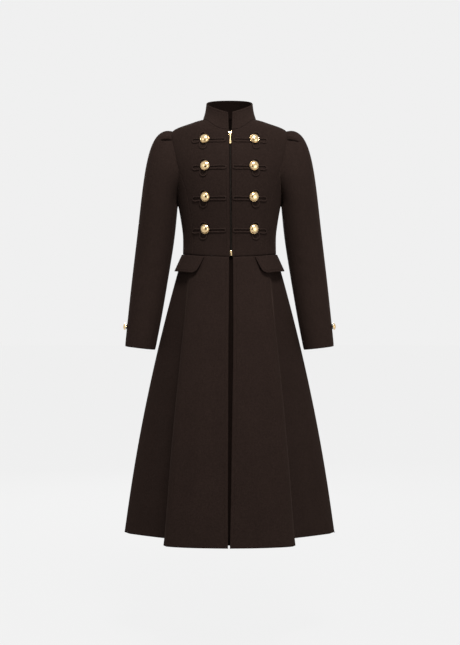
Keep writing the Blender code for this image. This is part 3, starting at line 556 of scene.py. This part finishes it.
def is_front_edge(middle, run, inward):
    return abs(run.z) > UPRIGHT and abs(middle.x) < FRONT_EDGE_REACH and middle.y < 0


def is_collar_free_edge(middle, run, inward):
    return is_front_edge(middle, run, inward) or inward.z < 0.3


cut_panel("collar", narrowed=is_front_edge, corner=ROUND_CORNER)

# %% [markdown]
# ## Bodice
#
# Seven panels go round the body: a front, a side front and a side back on each side, and the back.
# Princess seams run down from the armholes. Soft drag lines lie where the waist pulls in. They could be
# part of a finish, but as shapes they also show at the coat's outline.

# %% Bodice
# start, end, half width and height of each crease, in millimetres
LEFT_PULLS = [
    ((112, -40, -350), (70, -80, -318), 9, -0.9),
    ((118, -35, -330), (92, -62, -270), 11, 0.9),
    ((110, -55, -205), (80, -84, -250), 12, -0.8),
    ((112, 45, -350), (60, 70, -322), 10, -1),
    ((105, 55, -300), (50, 82, -262), 12, 1),
]
BODICE_ROWS = LEFT_PULLS + other_side(LEFT_PULLS)

for hand in HANDS:
    cut_panel(f"bodice_front_{hand}", rows=BODICE_ROWS, narrowed=is_front_edge)
    cut_panel(f"bodice_side_front_{hand}", rows=BODICE_ROWS)
    cut_panel(f"bodice_side_back_{hand}", rows=BODICE_ROWS)
cut_panel("bodice_back", rows=BODICE_ROWS)

# %% [markdown]
# ## Sleeves
#
# Each sleeve is cut in two, with the fullness of its head eased into one tuck beside the seam. A few
# shallow creases lie inside the elbow, deeper at the back than at the front, and no two are alike. The
# tuck is far narrower than the squares of the cloth. Smoothing the whole sleeve once more would make
# them small enough, but it is cheaper to cut extra lines along the tuck and the hem alone.

# %% Sleeves
ARM_ROWS = {
    "left": [
        ((178, -40, -392), (238, -48, -416), 10, -1.3),
        ((176, -42, -372), (226, -50, -384), 9, 1),
        ((184, -44, -440), (232, -54, -452), 11, -0.9),
        ((212, -44, -110), (226, -56, -220), 13, 1.4),
        ((236, -34, -130), (246, -40, -260), 14, -1.2),
        ((190, 52, -350), (240, 54, -372), 11, -1.9),
        ((188, 54, -384), (244, 50, -402), 12, 1.7),
        ((196, 46, -420), (246, 44, -440), 12, -1.4),
        ((154, -33.5, -55.5), (190, -38, -65), 2, -8),
        ((152, -28, -46), (192, -33, -56), 6, 2.4),
    ],
    "right": [
        ((-180, -40, -400), (-240, -46, -430), 11, -1.1),
        ((-178, -42, -378), (-222, -50, -394), 9, 1.1),
        ((-190, -46, -462), (-236, -54, -470), 12, -0.8),
        ((-208, -46, -104), (-224, -58, -230), 12, 1.6),
        ((-234, -36, -140), (-246, -40, -276), 15, -1.1),
        ((-190, 54, -342), (-238, 54, -360), 11, -1.7),
        ((-190, 54, -376), (-246, 50, -398), 13, 1.8),
        ((-196, 46, -428), (-244, 44, -444), 12, -1.5),
        ((-154, -33.5, -57), (-190, -37, -59), 2, -8),
        ((-152, -29, -47.5), (-192, -32, -49.5), 6, 2.4),
    ],
}
HEM_LINES = (1.2, 2.6, 5.0)      # millimetres above a hem, where its fold needs finer cloth
CUFF_SLOPE = 0.12                # the sleeve's hem rises outwards by this share
# millimetres beside the tuck
TUCK_LINES = (-6.0, -4.2, -3.2, -2.4, -1.6, -0.8, 0.0, 0.8, 1.6, 2.4, 3.2, 4.2, 6.0, 9.0)


def cuff_planes(node):
    """Planes just above the slanting hem of a sleeve."""
    low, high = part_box(node)
    side = 1.0 if low.x > 0 else -1.0
    up = Vector((-side * CUFF_SLOPE, 0.0, 1.0)).normalized()
    lowest = min((vert.co for vert in frame["nodes"][node].data.vertices), key=lambda co: co.dot(up))
    return [(lowest + up * line * MM, up) for line in HEM_LINES]


def tuck_planes(hand):
    """Planes along the tuck in the head of a sleeve, which is finer than the cloth round it."""
    start, end = (Vector(point) * MM for point in ARM_ROWS[hand][-2][:2])
    up = (end - start).cross(Vector((0.0, 1.0, 0.0))).normalized()
    up *= math.copysign(1.0, up.z)
    return [(start + up * line * MM, up) for line in TUCK_LINES]


for hand in HANDS:
    planes = cuff_planes(f"sleeve_upper_{hand}")
    cut_panel(f"sleeve_upper_{hand}", rows=ARM_ROWS[hand], planes=planes + tuck_planes(hand))
    cut_panel(f"sleeve_under_{hand}", rows=ARM_ROWS[hand], planes=planes)

# %% [markdown]
# ## Skirt
#
# The skirt flares from the waist into two deep folds in front and two softer ones behind. Between them
# the heavy cloth hangs in broad, shallow waves that grow towards the hem. The folds are in the packed
# panels, and the waves are long creases, placed as the bodice's are. A narrow strip lies behind the
# front slit, sewn to the left front.

# %% Skirt
SKIRT_ROWS = [
    ((40, -150, -560), (62, -222, -1125), 26, 3.4),
    ((84, -140, -620), (112, -214, -1140), 22, -2.8),
    ((-34, -150, -600), (-52, -222, -1140), 24, -2.6),
    ((-70, -145, -540), (-98, -216, -1125), 26, 3),
    ((190, -40, -640), (232, -50, -1140), 20, -2.6),
    ((-188, -44, -660), (-226, -56, -1140), 22, -2.8),
    ((40, 130, -560), (56, 206, -1140), 28, 4),
    ((-48, 130, -590), (-66, 204, -1140), 30, 4.4),
    ((0, 130, -640), (-4, 208, -1140), 24, -3.4),
    ((120, 110, -600), (150, 190, -1140), 24, -3),
    ((-116, 110, -620), (-146, 190, -1140), 26, -3.4),
]
UP = Vector((0.0, 0.0, 1.0))
hem_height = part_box("skirt_back")[0].z
hem_planes = [(UP * (hem_height + line * MM), UP) for line in HEM_LINES]

for hand in HANDS:
    cut_panel(f"skirt_front_{hand}", rows=SKIRT_ROWS, narrowed=is_front_edge, planes=hem_planes)
cut_panel("skirt_back", rows=SKIRT_ROWS, planes=hem_planes)
cut_panel("skirt_underlap", levels=2)

# %% [markdown]
# ## Pocket flaps and zip tapes
#
# Two flaps are caught in the waist seam. They are double cloth, stitched round their free edges. They
# are small and their edges show, so they are smoothed once more than the large panels. The zip's two
# tapes are narrow strips behind the edges of the fronts.

# %% Pocket flaps and zip tapes
def is_flap_free_edge(middle, run, inward):
    """All edges but the top one, whose way into the cloth is down."""
    return inward.z > -0.5


for hand in HANDS:
    cut_panel(f"pocket_flap_{hand}", levels=4, corner=ROUND_CORNER)
    cut_panel(f"zip_tape_{hand}", levels=2)

# %% [markdown]
# ## Sewing the panels together
#
# Cloth gives itself away at its edges. At a seam both edges turn in and leave a small valley. A free
# edge is folded over and round. A row of stitches pulls a shallow groove beside it. Each of these
# depends on a point's distance from an edge. Two panels that meet at an angle have different normals,
# so along a seam both move along the middle of the two, and their edges come together.

# %% Sewing the panels together
SEAM_REACH = 3.0 * MM            # edges nearer than this are sewn together
SEAM_DEPTH = 1.1 * MM
SEAM_WIDTH = 2.6 * MM
PULL_DEPTH = 0.45 * MM
PULL_WIDTH = 7.0 * MM
OVERLAP = 0.3                    # share by which sewn edges pass each other, so that no light gets in
STITCH_DEPTH = 0.6 * MM
STITCH_WIDTH = 1.0 * MM
FLAPS = [f"pocket_flap_{hand}" for hand in HANDS]
HIDDEN_STRIPS = ["skirt_underlap", "zip_tape_left", "zip_tape_right"]
# free edges that are stitched, and how far from them
STITCHED = {"collar": (is_collar_free_edge, 6.0 * MM)}
for hand in HANDS:
    STITCHED[f"bodice_front_{hand}"] = STITCHED[f"skirt_front_{hand}"] = (is_front_edge, 9.0 * MM)
    STITCHED[f"pocket_flap_{hand}"] = (is_flap_free_edge, 5.0 * MM)

edges = {node: edge_samples(mesh) for node, mesh in sheets.items()}
sewn = [(node, place, normal) for node in sheets if node not in FLAPS + HIDDEN_STRIPS
        for place, normal, inward in edges[node]]
sewn_tree = tree_of([place for node, place, normal in sewn])
stitch_lines = {}


def seam_partner(node, place):
    """The nearest edge of another panel, or None at a free edge."""
    near = [(gap, i) for found, i, gap in sewn_tree.find_range(place, SEAM_REACH) if sewn[i][0] != node]
    return sewn[min(near)[1]] if near else None


def sew(node):
    """Turns a panel's edges in, draws them to their neighbours and pulls the grooves of its stitches."""
    mesh = sheets[node]
    points, normals = points_and_normals(mesh)
    meet, lean = [], []
    wanted, away = STITCHED.get(node, (None, 0.0))
    stitch_lines[node] = edge_samples(mesh, wanted) if wanted else []
    free = {tuple(sample[0]) for sample in stitch_lines[node]}
    for place, normal, inward in edges[node]:
        partner = None if node in FLAPS or tuple(place) in free else seam_partner(node, place)
        meet.append((partner[1] - place) * (0.5 + OVERLAP) if partner else Vector((0.0, 0.0, 0.0)))
        lean.append((normal + partner[2]).normalized() if partner else normal)
    tree = tree_of([sample[0] for sample in edges[node]])
    found = [tree.find(point) for point in points]
    nearest = np.array([i for place, i, gap in found])
    distance = np.array([gap for place, i, gap in found])
    at_edge = np.clip(1 - distance / SEAM_WIDTH, 0.0, 1.0) ** 2
    pulled = np.exp(-((distance / PULL_WIDTH) ** 2))
    direction = normals + (np.array(lean)[nearest] - normals) * pulled[:, None]
    moved = -SEAM_DEPTH * at_edge - PULL_DEPTH * pulled
    if wanted:
        line = tree_of([sample[0] for sample in stitch_lines[node]])
        from_line = np.array([line.find(point)[2] for point in points])
        moved -= STITCH_DEPTH * np.exp(-(((from_line - away) / STITCH_WIDTH) ** 2))
    set_points(mesh, points + direction * moved[:, None] + np.array(meet)[nearest] * at_edge[:, None])


for node in sheets:
    if node not in HIDDEN_STRIPS:
        sew(node)
print("sewn panels:", len(sheets) - len(HIDDEN_STRIPS))

# %% [markdown]
# Each panel is one sheet of cloth. Its flat size is what would be cut from the bolt, seam allowance
# included, so the area is a little larger than what shows. The inner face takes a second, almost black
# finish: painted shade, for the shade inside the coat. A second sheet could show the inside too, but the
# coat shows so little of its inside that a finish is enough.

# %% Cloth pieces
CLOTH = 2.0 * MM
DOUBLE_CLOTH = 3.0 * MM
TAPE = 0.9 * MM


def dress(name, data, finish, body, slot, *stands_for):
    """Puts a finished piece in the scene, on its body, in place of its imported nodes."""
    data.materials.clear()
    data.materials.append(finish)
    piece = bpy.data.objects.new(name, data)
    scene.collection.objects.link(piece)
    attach(piece, body)
    if stands_for:
        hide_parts(*stands_for)
    return piece


for node, mesh in sheets.items():
    kind = node.removesuffix("_left").removesuffix("_right")
    mesh.shade_smooth()
    finish, slot, wall = (zip_twill, "zip_tape", TAPE) if kind == "zip_tape" else (wool, "wool", CLOTH)
    # the strip behind the front slit, and through Solidify every inner face of the wool, take the almost
    # black wool: painted shade
    piece = dress(mesh.name, mesh, shade_wool if kind == "skirt_underlap" else finish, "coat", slot, node)
    solid = piece.modifiers.new("wall", "SOLIDIFY")
    if finish is wool:
        mesh.materials.append(shade_wool)
        solid.material_offset = 1
    solid.thickness = DOUBLE_CLOTH if kind in ("collar", "pocket_flap") else wall
    solid.offset = -1.0
print("cloth pieces:", len(sheets))

# %% [markdown]
# ## Stitches
#
# The rows of stitches beside the free edges are short lengths of thread in the coat's own colour. They
# lie in the grooves that they pull. A texture could draw them, but real threads still catch the light
# when the coat is seen close up.

# %% Stitches
STITCH_LENGTH = 3.0 * MM
STITCH_PITCH = 4.4 * MM
THREAD_RADIUS = 0.24 * MM
THREAD_SIDES = 6
THREAD_LIFT = 0.6                # share of its radius by which a thread's middle lies above the cloth
CORNER_SHARE = 0.85              # a stitch nearer to an edge than this share is past a corner


def surface_of(*nodes):
    """A finished surface to lay things on, from one or more panels."""
    bm = bmesh.new()
    for node in nodes:
        bm.from_mesh(sheets[node])
    surface = BVHTree.FromBMesh(bm)
    bm.free()
    return surface


def along_edge(samples):
    """Samples of an open edge in order, from one end to the other, each the nearest to the last."""
    tree = tree_of([sample[0] for sample in samples])

    def walk(start):
        order, near = [], [(0.0, start)]
        used = set()
        while near:
            order.append(min(near)[1])
            used.add(order[-1])
            here = samples[order[-1]][0]
            near = [(gap, i) for place, i, gap in tree.find_range(here, 4 * SAMPLE) if i not in used]
        return order

    one_end = walk(0)[-1]
    return [samples[i] for i in walk(one_end)]


def stitch_row(bm, node):
    """Stitches along the groove of one panel, each from one place to near the next."""
    away = STITCHED[node][1]
    surface = surface_of(node)
    samples = stitch_lines[node]
    line = tree_of([sample[0] for sample in samples])
    places = []
    for place, normal, inward in along_edge(samples):
        target = place + (inward - normal * inward.dot(normal)).normalized() * away
        found, facing = surface.find_nearest(target)[:2]
        past_corner = line.find(found)[2] < CORNER_SHARE * away
        if not past_corner and (not places or (found - places[-1][0]).length > STITCH_PITCH):
            places.append((found, facing))
    for (start, facing), after in zip(places, places[1:]):
        run = after[0] - start
        if run.length < 2 * STITCH_PITCH:
            middle = start + run.normalized() * STITCH_LENGTH / 2 + facing * THREAD_RADIUS * THREAD_LIFT
            turn = run.to_track_quat("Z", "Y").to_matrix().to_4x4()
            bmesh.ops.create_cone(bm, cap_ends=True, segments=THREAD_SIDES, radius1=THREAD_RADIUS,
                                  radius2=THREAD_RADIUS, depth=STITCH_LENGTH,
                                  matrix=Matrix.Translation(middle) @ turn)
    return len(places)


bm = bmesh.new()
stitches = {node: stitch_row(bm, node) for node in STITCHED}
stitch_mesh = mesh_from(bm, "edge_stitches")
stitch_mesh.shade_smooth()
dress("edge_stitches", stitch_mesh, thread, "coat", "wool")
print("stitches:", stitches)

# %% [markdown]
# ## Braid frogs
#
# A frog is a length of round braid, laid in loops and sewn down. Three strands pass over and under each
# other: each swings from side to side, and rises and dips twice as often. One thick cord with a bump
# would be lighter, but its outline would be smooth where a plait is knobbly. The loops are drawn flat
# and dropped on the finished cloth from the front.

# %% Braid frogs
STRAND_RADIUS = 0.85 * MM
BRAID_SWING = 1.05 * MM
BRAID_DIP = 0.6 * MM
PLAIT_PITCH = 6.5 * MM
PLAIT_STEPS = 10                 # points of a strand in each turn of the plait
# along the braid's length from its button and up from its middle line, in millimetres
FROG_UPPER_HALF = (
    (-59.0, 0.0), (-56.0, 4.0), (-24.0, 3.8), (-9.5, 5.0), (-9.0, 14.0), (-6.5, 20.0),
    (0.0, 22.5), (6.5, 20.0), (9.0, 14.0), (9.5, 5.0), (24.0, 5.6), (29.0, 0.0),
)
FROG_OFF_CENTRE = 15.0           # the long inner loop moves the box's middle this far
DROP_HEIGHT = 0.1                # metres from which the loops are dropped


def smooth_loop(half, steps=24):
    """Closed smooth loop through an upper half and its mirror."""
    loop = np.array(list(half) + [(along, -up) for along, up in reversed(half[1:-1])])
    share = (np.arange(steps) / steps)[:, None]
    spans = []
    for p0, p1, p2, p3 in zip(np.roll(loop, 1, 0), loop, np.roll(loop, -1, 0), np.roll(loop, -2, 0)):
        spans.append(0.5 * (2 * p1 + (p2 - p0) * share + (2 * p0 - 5 * p1 + 4 * p2 - p3) * share ** 2
                            + (3 * p1 - p0 - 3 * p2 + p3) * share ** 3))
    return np.concatenate(spans)


def even_steps(loop):
    """The same loop with a whole number of plait turns, in even steps."""
    closed = np.vstack([loop, loop[:1]])
    travelled = np.concatenate([[0.0], np.cumsum(np.linalg.norm(np.diff(closed, axis=0), axis=1))])
    turns = round(travelled[-1] / PLAIT_PITCH)
    places = np.linspace(0.0, travelled[-1], turns * PLAIT_STEPS, endpoint=False)
    return np.column_stack([np.interp(places, travelled, closed[:, axis]) for axis in range(3)]), turns


def smoothed_round(values, reach=4):
    """Values along a closed loop, each the mean of its neighbourhood."""
    return sum(np.roll(values, shift, 0) for shift in range(-reach, reach + 1)) / (2 * reach + 1)


def braid(name, loop, surface, facing):
    """Three plaited strands along a loop of places, dropped on the surface against a facing direction."""
    loop, turns = even_steps(loop)
    hits = [surface.ray_cast(Vector(place) + facing * DROP_HEIGHT, -facing) for place in loop]
    ground = smoothed_round(np.array([hit[0] for hit in hits]), reach=1)
    normals = smoothed_round(np.array([hit[1] for hit in hits]))
    normals /= np.linalg.norm(normals, axis=1)[:, None]
    ahead = np.roll(ground, -1, 0) - np.roll(ground, 1, 0)
    sideways = np.cross(normals, ahead)
    sideways /= np.linalg.norm(sideways, axis=1)[:, None]
    phase = np.arange(len(loop)) * 2 * math.pi / PLAIT_STEPS
    curve = bpy.data.curves.new(name, "CURVE")
    curve.dimensions = "3D"
    curve.bevel_depth = STRAND_RADIUS
    curve.bevel_resolution = 1
    for strand in range(3):
        swing = phase + strand * 2 * math.pi / 3
        height = STRAND_RADIUS + BRAID_DIP + BRAID_DIP * np.sin(2 * swing)
        knots = ground + sideways * (BRAID_SWING * np.sin(swing))[:, None] + normals * height[:, None]
        spline = curve.splines.new("POLY")
        spline.points.add(len(knots) - 1)
        spline.points.foreach_set("co", np.column_stack([knots, np.ones(len(knots))]).ravel())
        spline.use_cyclic_u = True
    dress(name, curve, lightened_braid_yarn, "coat", "braid", name.removesuffix("_braid"))
    return turns


for hand, side in zip(HANDS, (1.0, -1.0)):
    chest = surface_of(f"bodice_front_{hand}", f"bodice_side_front_{hand}")
    turns = []
    for number in range(1, 5):
        low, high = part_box(f"frog_{hand}_{number}")
        middle = (low + high) / 2 + Vector((side * FROG_OFF_CENTRE * MM, 0.0, 0.0))
        loop = smooth_loop(FROG_UPPER_HALF) * MM
        places = np.column_stack([middle.x + side * loop[:, 0], np.full(len(loop), low.y),
                                  middle.z + loop[:, 1]])
        turns.append(braid(f"frog_{hand}_{number}_braid", places, chest, Vector((0.0, -1.0, 0.0))))
    print(hand, "frogs, turns of the plait:", turns)

# %% [markdown]
# The cuff has one button in a small loop of the same braid. It sits on the outer side of the sleeve,
# so its loop is dropped from the side.

# %% Cuff loops
CUFF_LOOP_UPPER_HALF = ((-14.0, 0.0), (-11.0, 4.2), (0.0, 4.6), (11.0, 4.2), (14.0, 0.0))

for hand, side in zip(HANDS, (1.0, -1.0)):
    sleeve = surface_of(f"sleeve_upper_{hand}")
    low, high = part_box(f"cuff_loop_{hand}")
    middle = (low + high) / 2
    loop = smooth_loop(CUFF_LOOP_UPPER_HALF) * MM
    stretch = (high.y - low.y) / (loop[:, 0].max() - loop[:, 0].min() + 2 * (STRAND_RADIUS + BRAID_SWING))
    places = np.column_stack([np.full(len(loop), middle.x), middle.y + loop[:, 0] * stretch,
                              middle.z + loop[:, 1]])
    turns = braid(f"cuff_loop_{hand}_braid", places, sleeve, Vector((side, 0.0, 0.0)))
    print(hand, "cuff loop, turns of the plait:", turns)

# %% [markdown]
# ## Dome buttons
#
# A dome button is pressed from sheet brass over a back plate, with its edge rolled round and a shank
# behind. It is a turned shape, so one outline spun round the shank makes it all. Its seat and its
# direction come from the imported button: that is flat, so its thinnest direction is its axis.

# %% Dome buttons
RIM_SHARE = 0.04                 # radius of the rolled rim, as a share of the button's radius
DOME_FOOT = 1.6                  # how far in and up from the seat the dome starts, in rim radii
DOME_STEPS = 14
RIM_DEGREES = range(140, -180, -40)
BACK_HOLLOW = 0.15 * MM
SHANK_RADIUS = 2.2 * MM
SHANK_LENGTH = 3.4 * MM
SPIN_STEPS = 48


def button_outline(radius, height):
    """Half outline from the top of the dome, round the rim and the back, to the end of the shank."""
    rim = RIM_SHARE * radius
    foot = DOME_FOOT * rim
    dome = [math.radians(90 * i / DOME_STEPS) for i in range(DOME_STEPS)]
    outline = [((radius - foot) * math.sin(a), foot + (height - foot) * math.cos(a)) for a in dome]
    turn = [math.radians(degrees) for degrees in RIM_DEGREES]
    outline += [(radius - rim + rim * math.cos(a), rim + rim * math.sin(a)) for a in turn]
    return outline + [(SHANK_RADIUS, BACK_HOLLOW), (SHANK_RADIUS, -SHANK_LENGTH), (0.0, -SHANK_LENGTH)]


def dome_button(node, outward):
    """A turned button in the place of a packed one, facing about outward. Gives its diameter."""
    points, normals = points_and_normals(frame["nodes"][node].data)
    axis = Vector(np.linalg.svd(points - points.mean(axis=0), full_matrices=False)[2][2])
    axis *= math.copysign(1.0, axis.dot(outward))
    heights = points @ np.array(axis)
    across = points - heights[:, None] * np.array(axis)
    centre = (across.min(axis=0) + across.max(axis=0)) / 2
    radius = np.linalg.norm(across - centre, axis=1).max()
    bm = bmesh.new()
    verts = [bm.verts.new((x, 0.0, z)) for x, z in button_outline(radius, heights.max() - heights.min())]
    lines = [bm.edges.new(pair) for pair in zip(verts, verts[1:])]
    bmesh.ops.spin(bm, geom=verts + lines, cent=(0, 0, 0), axis=(0, 0, 1), angle=2 * math.pi,
                   steps=SPIN_STEPS, use_merge=True)
    bmesh.ops.remove_doubles(bm, verts=bm.verts[:], dist=WELD)
    bmesh.ops.recalc_face_normals(bm, faces=bm.faces[:])
    seat = Vector(centre) + axis * heights.min()
    bm.transform(Matrix.Translation(seat) @ axis.to_track_quat("Z", "Y").to_matrix().to_4x4())
    mesh = mesh_from(bm, node + "_dome")
    mesh.shade_smooth()
    mesh.set_sharp_from_angle(angle=math.radians(50.0))
    dress(node + "_dome", mesh, gold, "coat", "gold", node)
    return round(2 * radius / MM, 1)


for hand, side in zip(HANDS, (1.0, -1.0)):
    sizes = [dome_button(f"button_{hand}_{number}", Vector((0.0, -1.0, 0.0))) for number in range(1, 5)]
    sizes.append(dome_button(f"cuff_button_{hand}", Vector((side, 0.0, 0.0))))
    print(hand, "buttons in mm:", sizes)

# %% [markdown]
# ## Zip teeth
#
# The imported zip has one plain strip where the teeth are. Here it becomes single metal teeth, in two
# rows that mesh at the middle. Each tooth is a small block with bevelled edges, set at even steps along
# the strip's middle line. There are over two hundred, so each has only a few dozen faces.

# %% Zip teeth
TOOTH_PITCH = 2.8 * MM
TOOTH = Vector((2.55, 2.3, 1.45)) * MM       # across, deep, along the zip
TOOTH_MESH = 0.45 * MM                       # how far a tooth reaches past the middle line
TOOTH_EDGE = 0.32 * MM


def round_edges(bm, lines, size, segments=3):
    bmesh.ops.bevel(bm, geom=lines, offset=size, offset_type="OFFSET", affect="EDGES", segments=segments,
                    profile=0.5, material=-1)


def block(bm, middle, size, edge, segments=3):
    """A block with rounded edges."""
    place = Matrix.Translation(middle) @ Matrix.Diagonal((*size, 1.0))
    cube = bmesh.ops.create_cube(bm, size=1.0, matrix=place)
    lines = dict.fromkeys(line for vert in cube["verts"] for line in vert.link_edges)
    round_edges(bm, list(lines), edge, segments)


def front_line_of(node):
    """Middle line of a strip's front face, from its bottom to its top."""
    rows = {}
    mesh = frame["nodes"][node].data
    for polygon in mesh.polygons:
        if polygon.normal.y < -0.7:
            for index in polygon.vertices:
                place = mesh.vertices[index].co
                rows.setdefault(round(place.z / MM, 1), set()).add(tuple(round(c, 6) for c in place))
    return [sum((Vector(p) for p in row), Vector()) / len(row) for z, row in sorted(rows.items())]


zip_line = np.array(front_line_of("zip_chain"))
bm = bmesh.new()
heights = np.arange(zip_line[0, 2] + TOOTH_PITCH / 2, zip_line[-1, 2] - TOOTH_PITCH / 4, TOOTH_PITCH / 2)
for number, z in enumerate(heights):
    side = 1.0 if number % 2 else -1.0
    x, y = (np.interp(z, zip_line[:, 2], zip_line[:, axis]) for axis in (0, 1))
    middle = (x + side * (TOOTH.x / 2 - TOOTH_MESH), y + TOOTH.y / 2, z)
    block(bm, middle, TOOTH, TOOTH_EDGE, segments=1)
dress("zip_teeth", mesh_from(bm, "zip_teeth"), zip_metal, "coat", "zip_chain", "zip_chain")
print("zip teeth:", len(heights))

# %% [markdown]
# ## Zip slider, pull tab and box
#
# The slider is a small shield with two shoulders, which show as a V at the top of the zip. Two ears hold
# a pin, and the pull tab hangs on it by a round eye, so the tab turns while the slider stays. At the
# other end of the zip a small box holds both rows of teeth together.

# %% Zip slider
SLIDER_OUTLINE = (
    (-4.2, 8.4), (-3.0, 8.1), (-0.9, 4.1), (0.0, 3.2), (0.9, 4.1), (3.0, 8.1), (4.2, 8.4), (3.9, 4.4),
    (3.2, -1.6), (2.4, -6.2), (1.6, -8.0), (-1.6, -8.0), (-2.4, -6.2), (-3.2, -1.6), (-3.9, 4.4),
)
SLIDER_FACE = 2.7                # of the slider behind the pin
SLIDER_DEPTH = 2.6
SLIDER_EDGE = 0.5
EAR = (1.3, 4.6, 3.4)            # across, deep, high
EAR_MIDDLE = (3.35, 0.9, 0.0)
EAR_EDGE = 0.45
PIN_RADIUS = 0.7
PIN_SIDES = 24

pin = Vector(frame["joints"][0]["pos_m"])
rise = zip_line[-1] - zip_line[-3]
zip_lean = Matrix.Rotation(-math.atan2(rise[1], rise[2]), 4, "X")
slider_place = Matrix.Translation(pin) @ zip_lean @ Matrix.Scale(MM, 4)


def plate(bm, outline, front, depth, edge):
    """A flat plate from an outline seen from the front, with bevelled edges."""
    verts = [bm.verts.new((x, front, z)) for x, z in outline]
    face = bm.faces.new(verts)
    back = bmesh.ops.extrude_face_region(bm, geom=[face])["geom"]
    back_verts = [item for item in back if isinstance(item, bmesh.types.BMVert)]
    bmesh.ops.translate(bm, verts=back_verts, vec=(0.0, depth, 0.0))
    bmesh.ops.recalc_face_normals(bm, faces=list({f for v in verts + back_verts for f in v.link_faces}))
    lines = dict.fromkeys(line for vert in verts + back_verts for line in vert.link_edges)
    round_edges(bm, [line for line in lines if line.calc_face_angle(0.0) > math.radians(60.0)], edge)


def finish_part(bm, name, place, body, *stands_for):
    """Puts a gold part in its place in the coat."""
    bm.transform(place)
    mesh = mesh_from(bm, name)
    mesh.shade_smooth()
    mesh.set_sharp_from_angle(angle=math.radians(40.0))
    dress(name, mesh, gold, body, "gold", *stands_for)
    print(name, "has", len(mesh.polygons), "faces")


bm = bmesh.new()
plate(bm, SLIDER_OUTLINE, SLIDER_FACE, SLIDER_DEPTH, SLIDER_EDGE)
for side in (-1.0, 1.0):
    block(bm, (side * EAR_MIDDLE[0], *EAR_MIDDLE[1:]), EAR, EAR_EDGE)
bmesh.ops.create_cone(bm, cap_ends=True, segments=PIN_SIDES, radius1=PIN_RADIUS, radius2=PIN_RADIUS,
                      depth=2 * EAR_MIDDLE[0], matrix=Matrix.Rotation(math.pi / 2, 4, "Y"))
finish_part(bm, "zip_slider_shield", slider_place, "coat", "zip_slider")

# %% [markdown]
# The tab is a slim plate with a sunk field on both sides and a round eye at its top. The eye could be cut
# out of the plate, but a ring spun round the pin turns on it cleanly.

# %% Zip pull tab
TAB_HALF = ((1.5, -1.5), (1.35, -4.5), (1.4, -10.0), (1.7, -21.0), (2.0, -27.0), (1.8, -29.6), (1.0, -30.9))
TAB_DEPTH = 1.6
TAB_EDGE = 0.4
TAB_BORDER = 0.55
FIELD_SLOPE, FIELD_DEPTH = 0.2, 0.25
FIELD_AREA = 40.0                # the two broad faces are larger than this
TAB_LEAN = math.radians(6.0)
EYE_INNER, EYE_OUTER, EYE_HALF_WIDTH = 1.15, 2.1, 2.3
EYE_EDGE = 0.3
EYE_STEPS = 28

bm = bmesh.new()
tab_outline = list(TAB_HALF) + [(-x, z) for x, z in reversed(TAB_HALF)]
plate(bm, tab_outline, -TAB_DEPTH / 2, TAB_DEPTH, TAB_EDGE)
broad = [face for face in bm.faces if abs(face.normal.y) > 0.99 and face.calc_area() > FIELD_AREA]
for face in broad:
    for thickness, depth in ((TAB_BORDER, 0.0), (FIELD_SLOPE, -FIELD_DEPTH)):
        bmesh.ops.inset_region(bm, faces=[face], thickness=thickness, depth=depth, use_even_offset=True)
eye_half = [(EYE_INNER, EYE_HALF_WIDTH), (EYE_OUTER - EYE_EDGE, EYE_HALF_WIDTH),
            (EYE_OUTER, EYE_HALF_WIDTH - EYE_EDGE)]
eye = [(out, -along) for out, along in eye_half] + eye_half[::-1]
verts = [bm.verts.new((along, 0.0, out)) for out, along in eye]
lines = [bm.edges.new(pair) for pair in zip(verts, verts[1:] + verts[:1])]
bmesh.ops.spin(bm, geom=verts + lines, cent=(0, 0, 0), axis=(1, 0, 0), angle=2 * math.pi,
               steps=EYE_STEPS, use_merge=True)
bmesh.ops.recalc_face_normals(bm, faces=bm.faces[:])
finish_part(bm, "zip_tab", slider_place @ Matrix.Rotation(TAB_LEAN, 4, "X"), "zip_pull", "zip_pull_tab")

# %% [markdown]
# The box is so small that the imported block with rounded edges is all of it.

# %% Zip box
BOX_EDGE = 0.6 * MM

bm = bmesh.new()
bm.from_mesh(frame["nodes"]["zip_bottom_box"].data)
bmesh.ops.remove_doubles(bm, verts=bm.verts[:], dist=WELD)
round_edges(bm, [line for line in bm.edges if line.calc_face_angle(0.0) > math.radians(50.0)], BOX_EDGE)
finish_part(bm, "zip_box", Matrix.Identity(4), "coat", "zip_bottom_box")

# %% [markdown]
# ## Sizes
#
# The finished coat keeps the imported one's size, so the growth of the finished box over the imported
# box is printed.

# %% Sizes
visual_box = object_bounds()
growth = [[round((v - c) / MM, 1) for v, c in zip(*pair)] for pair in zip(visual_box, cad_box)]
print("grown by in mm:", growth)
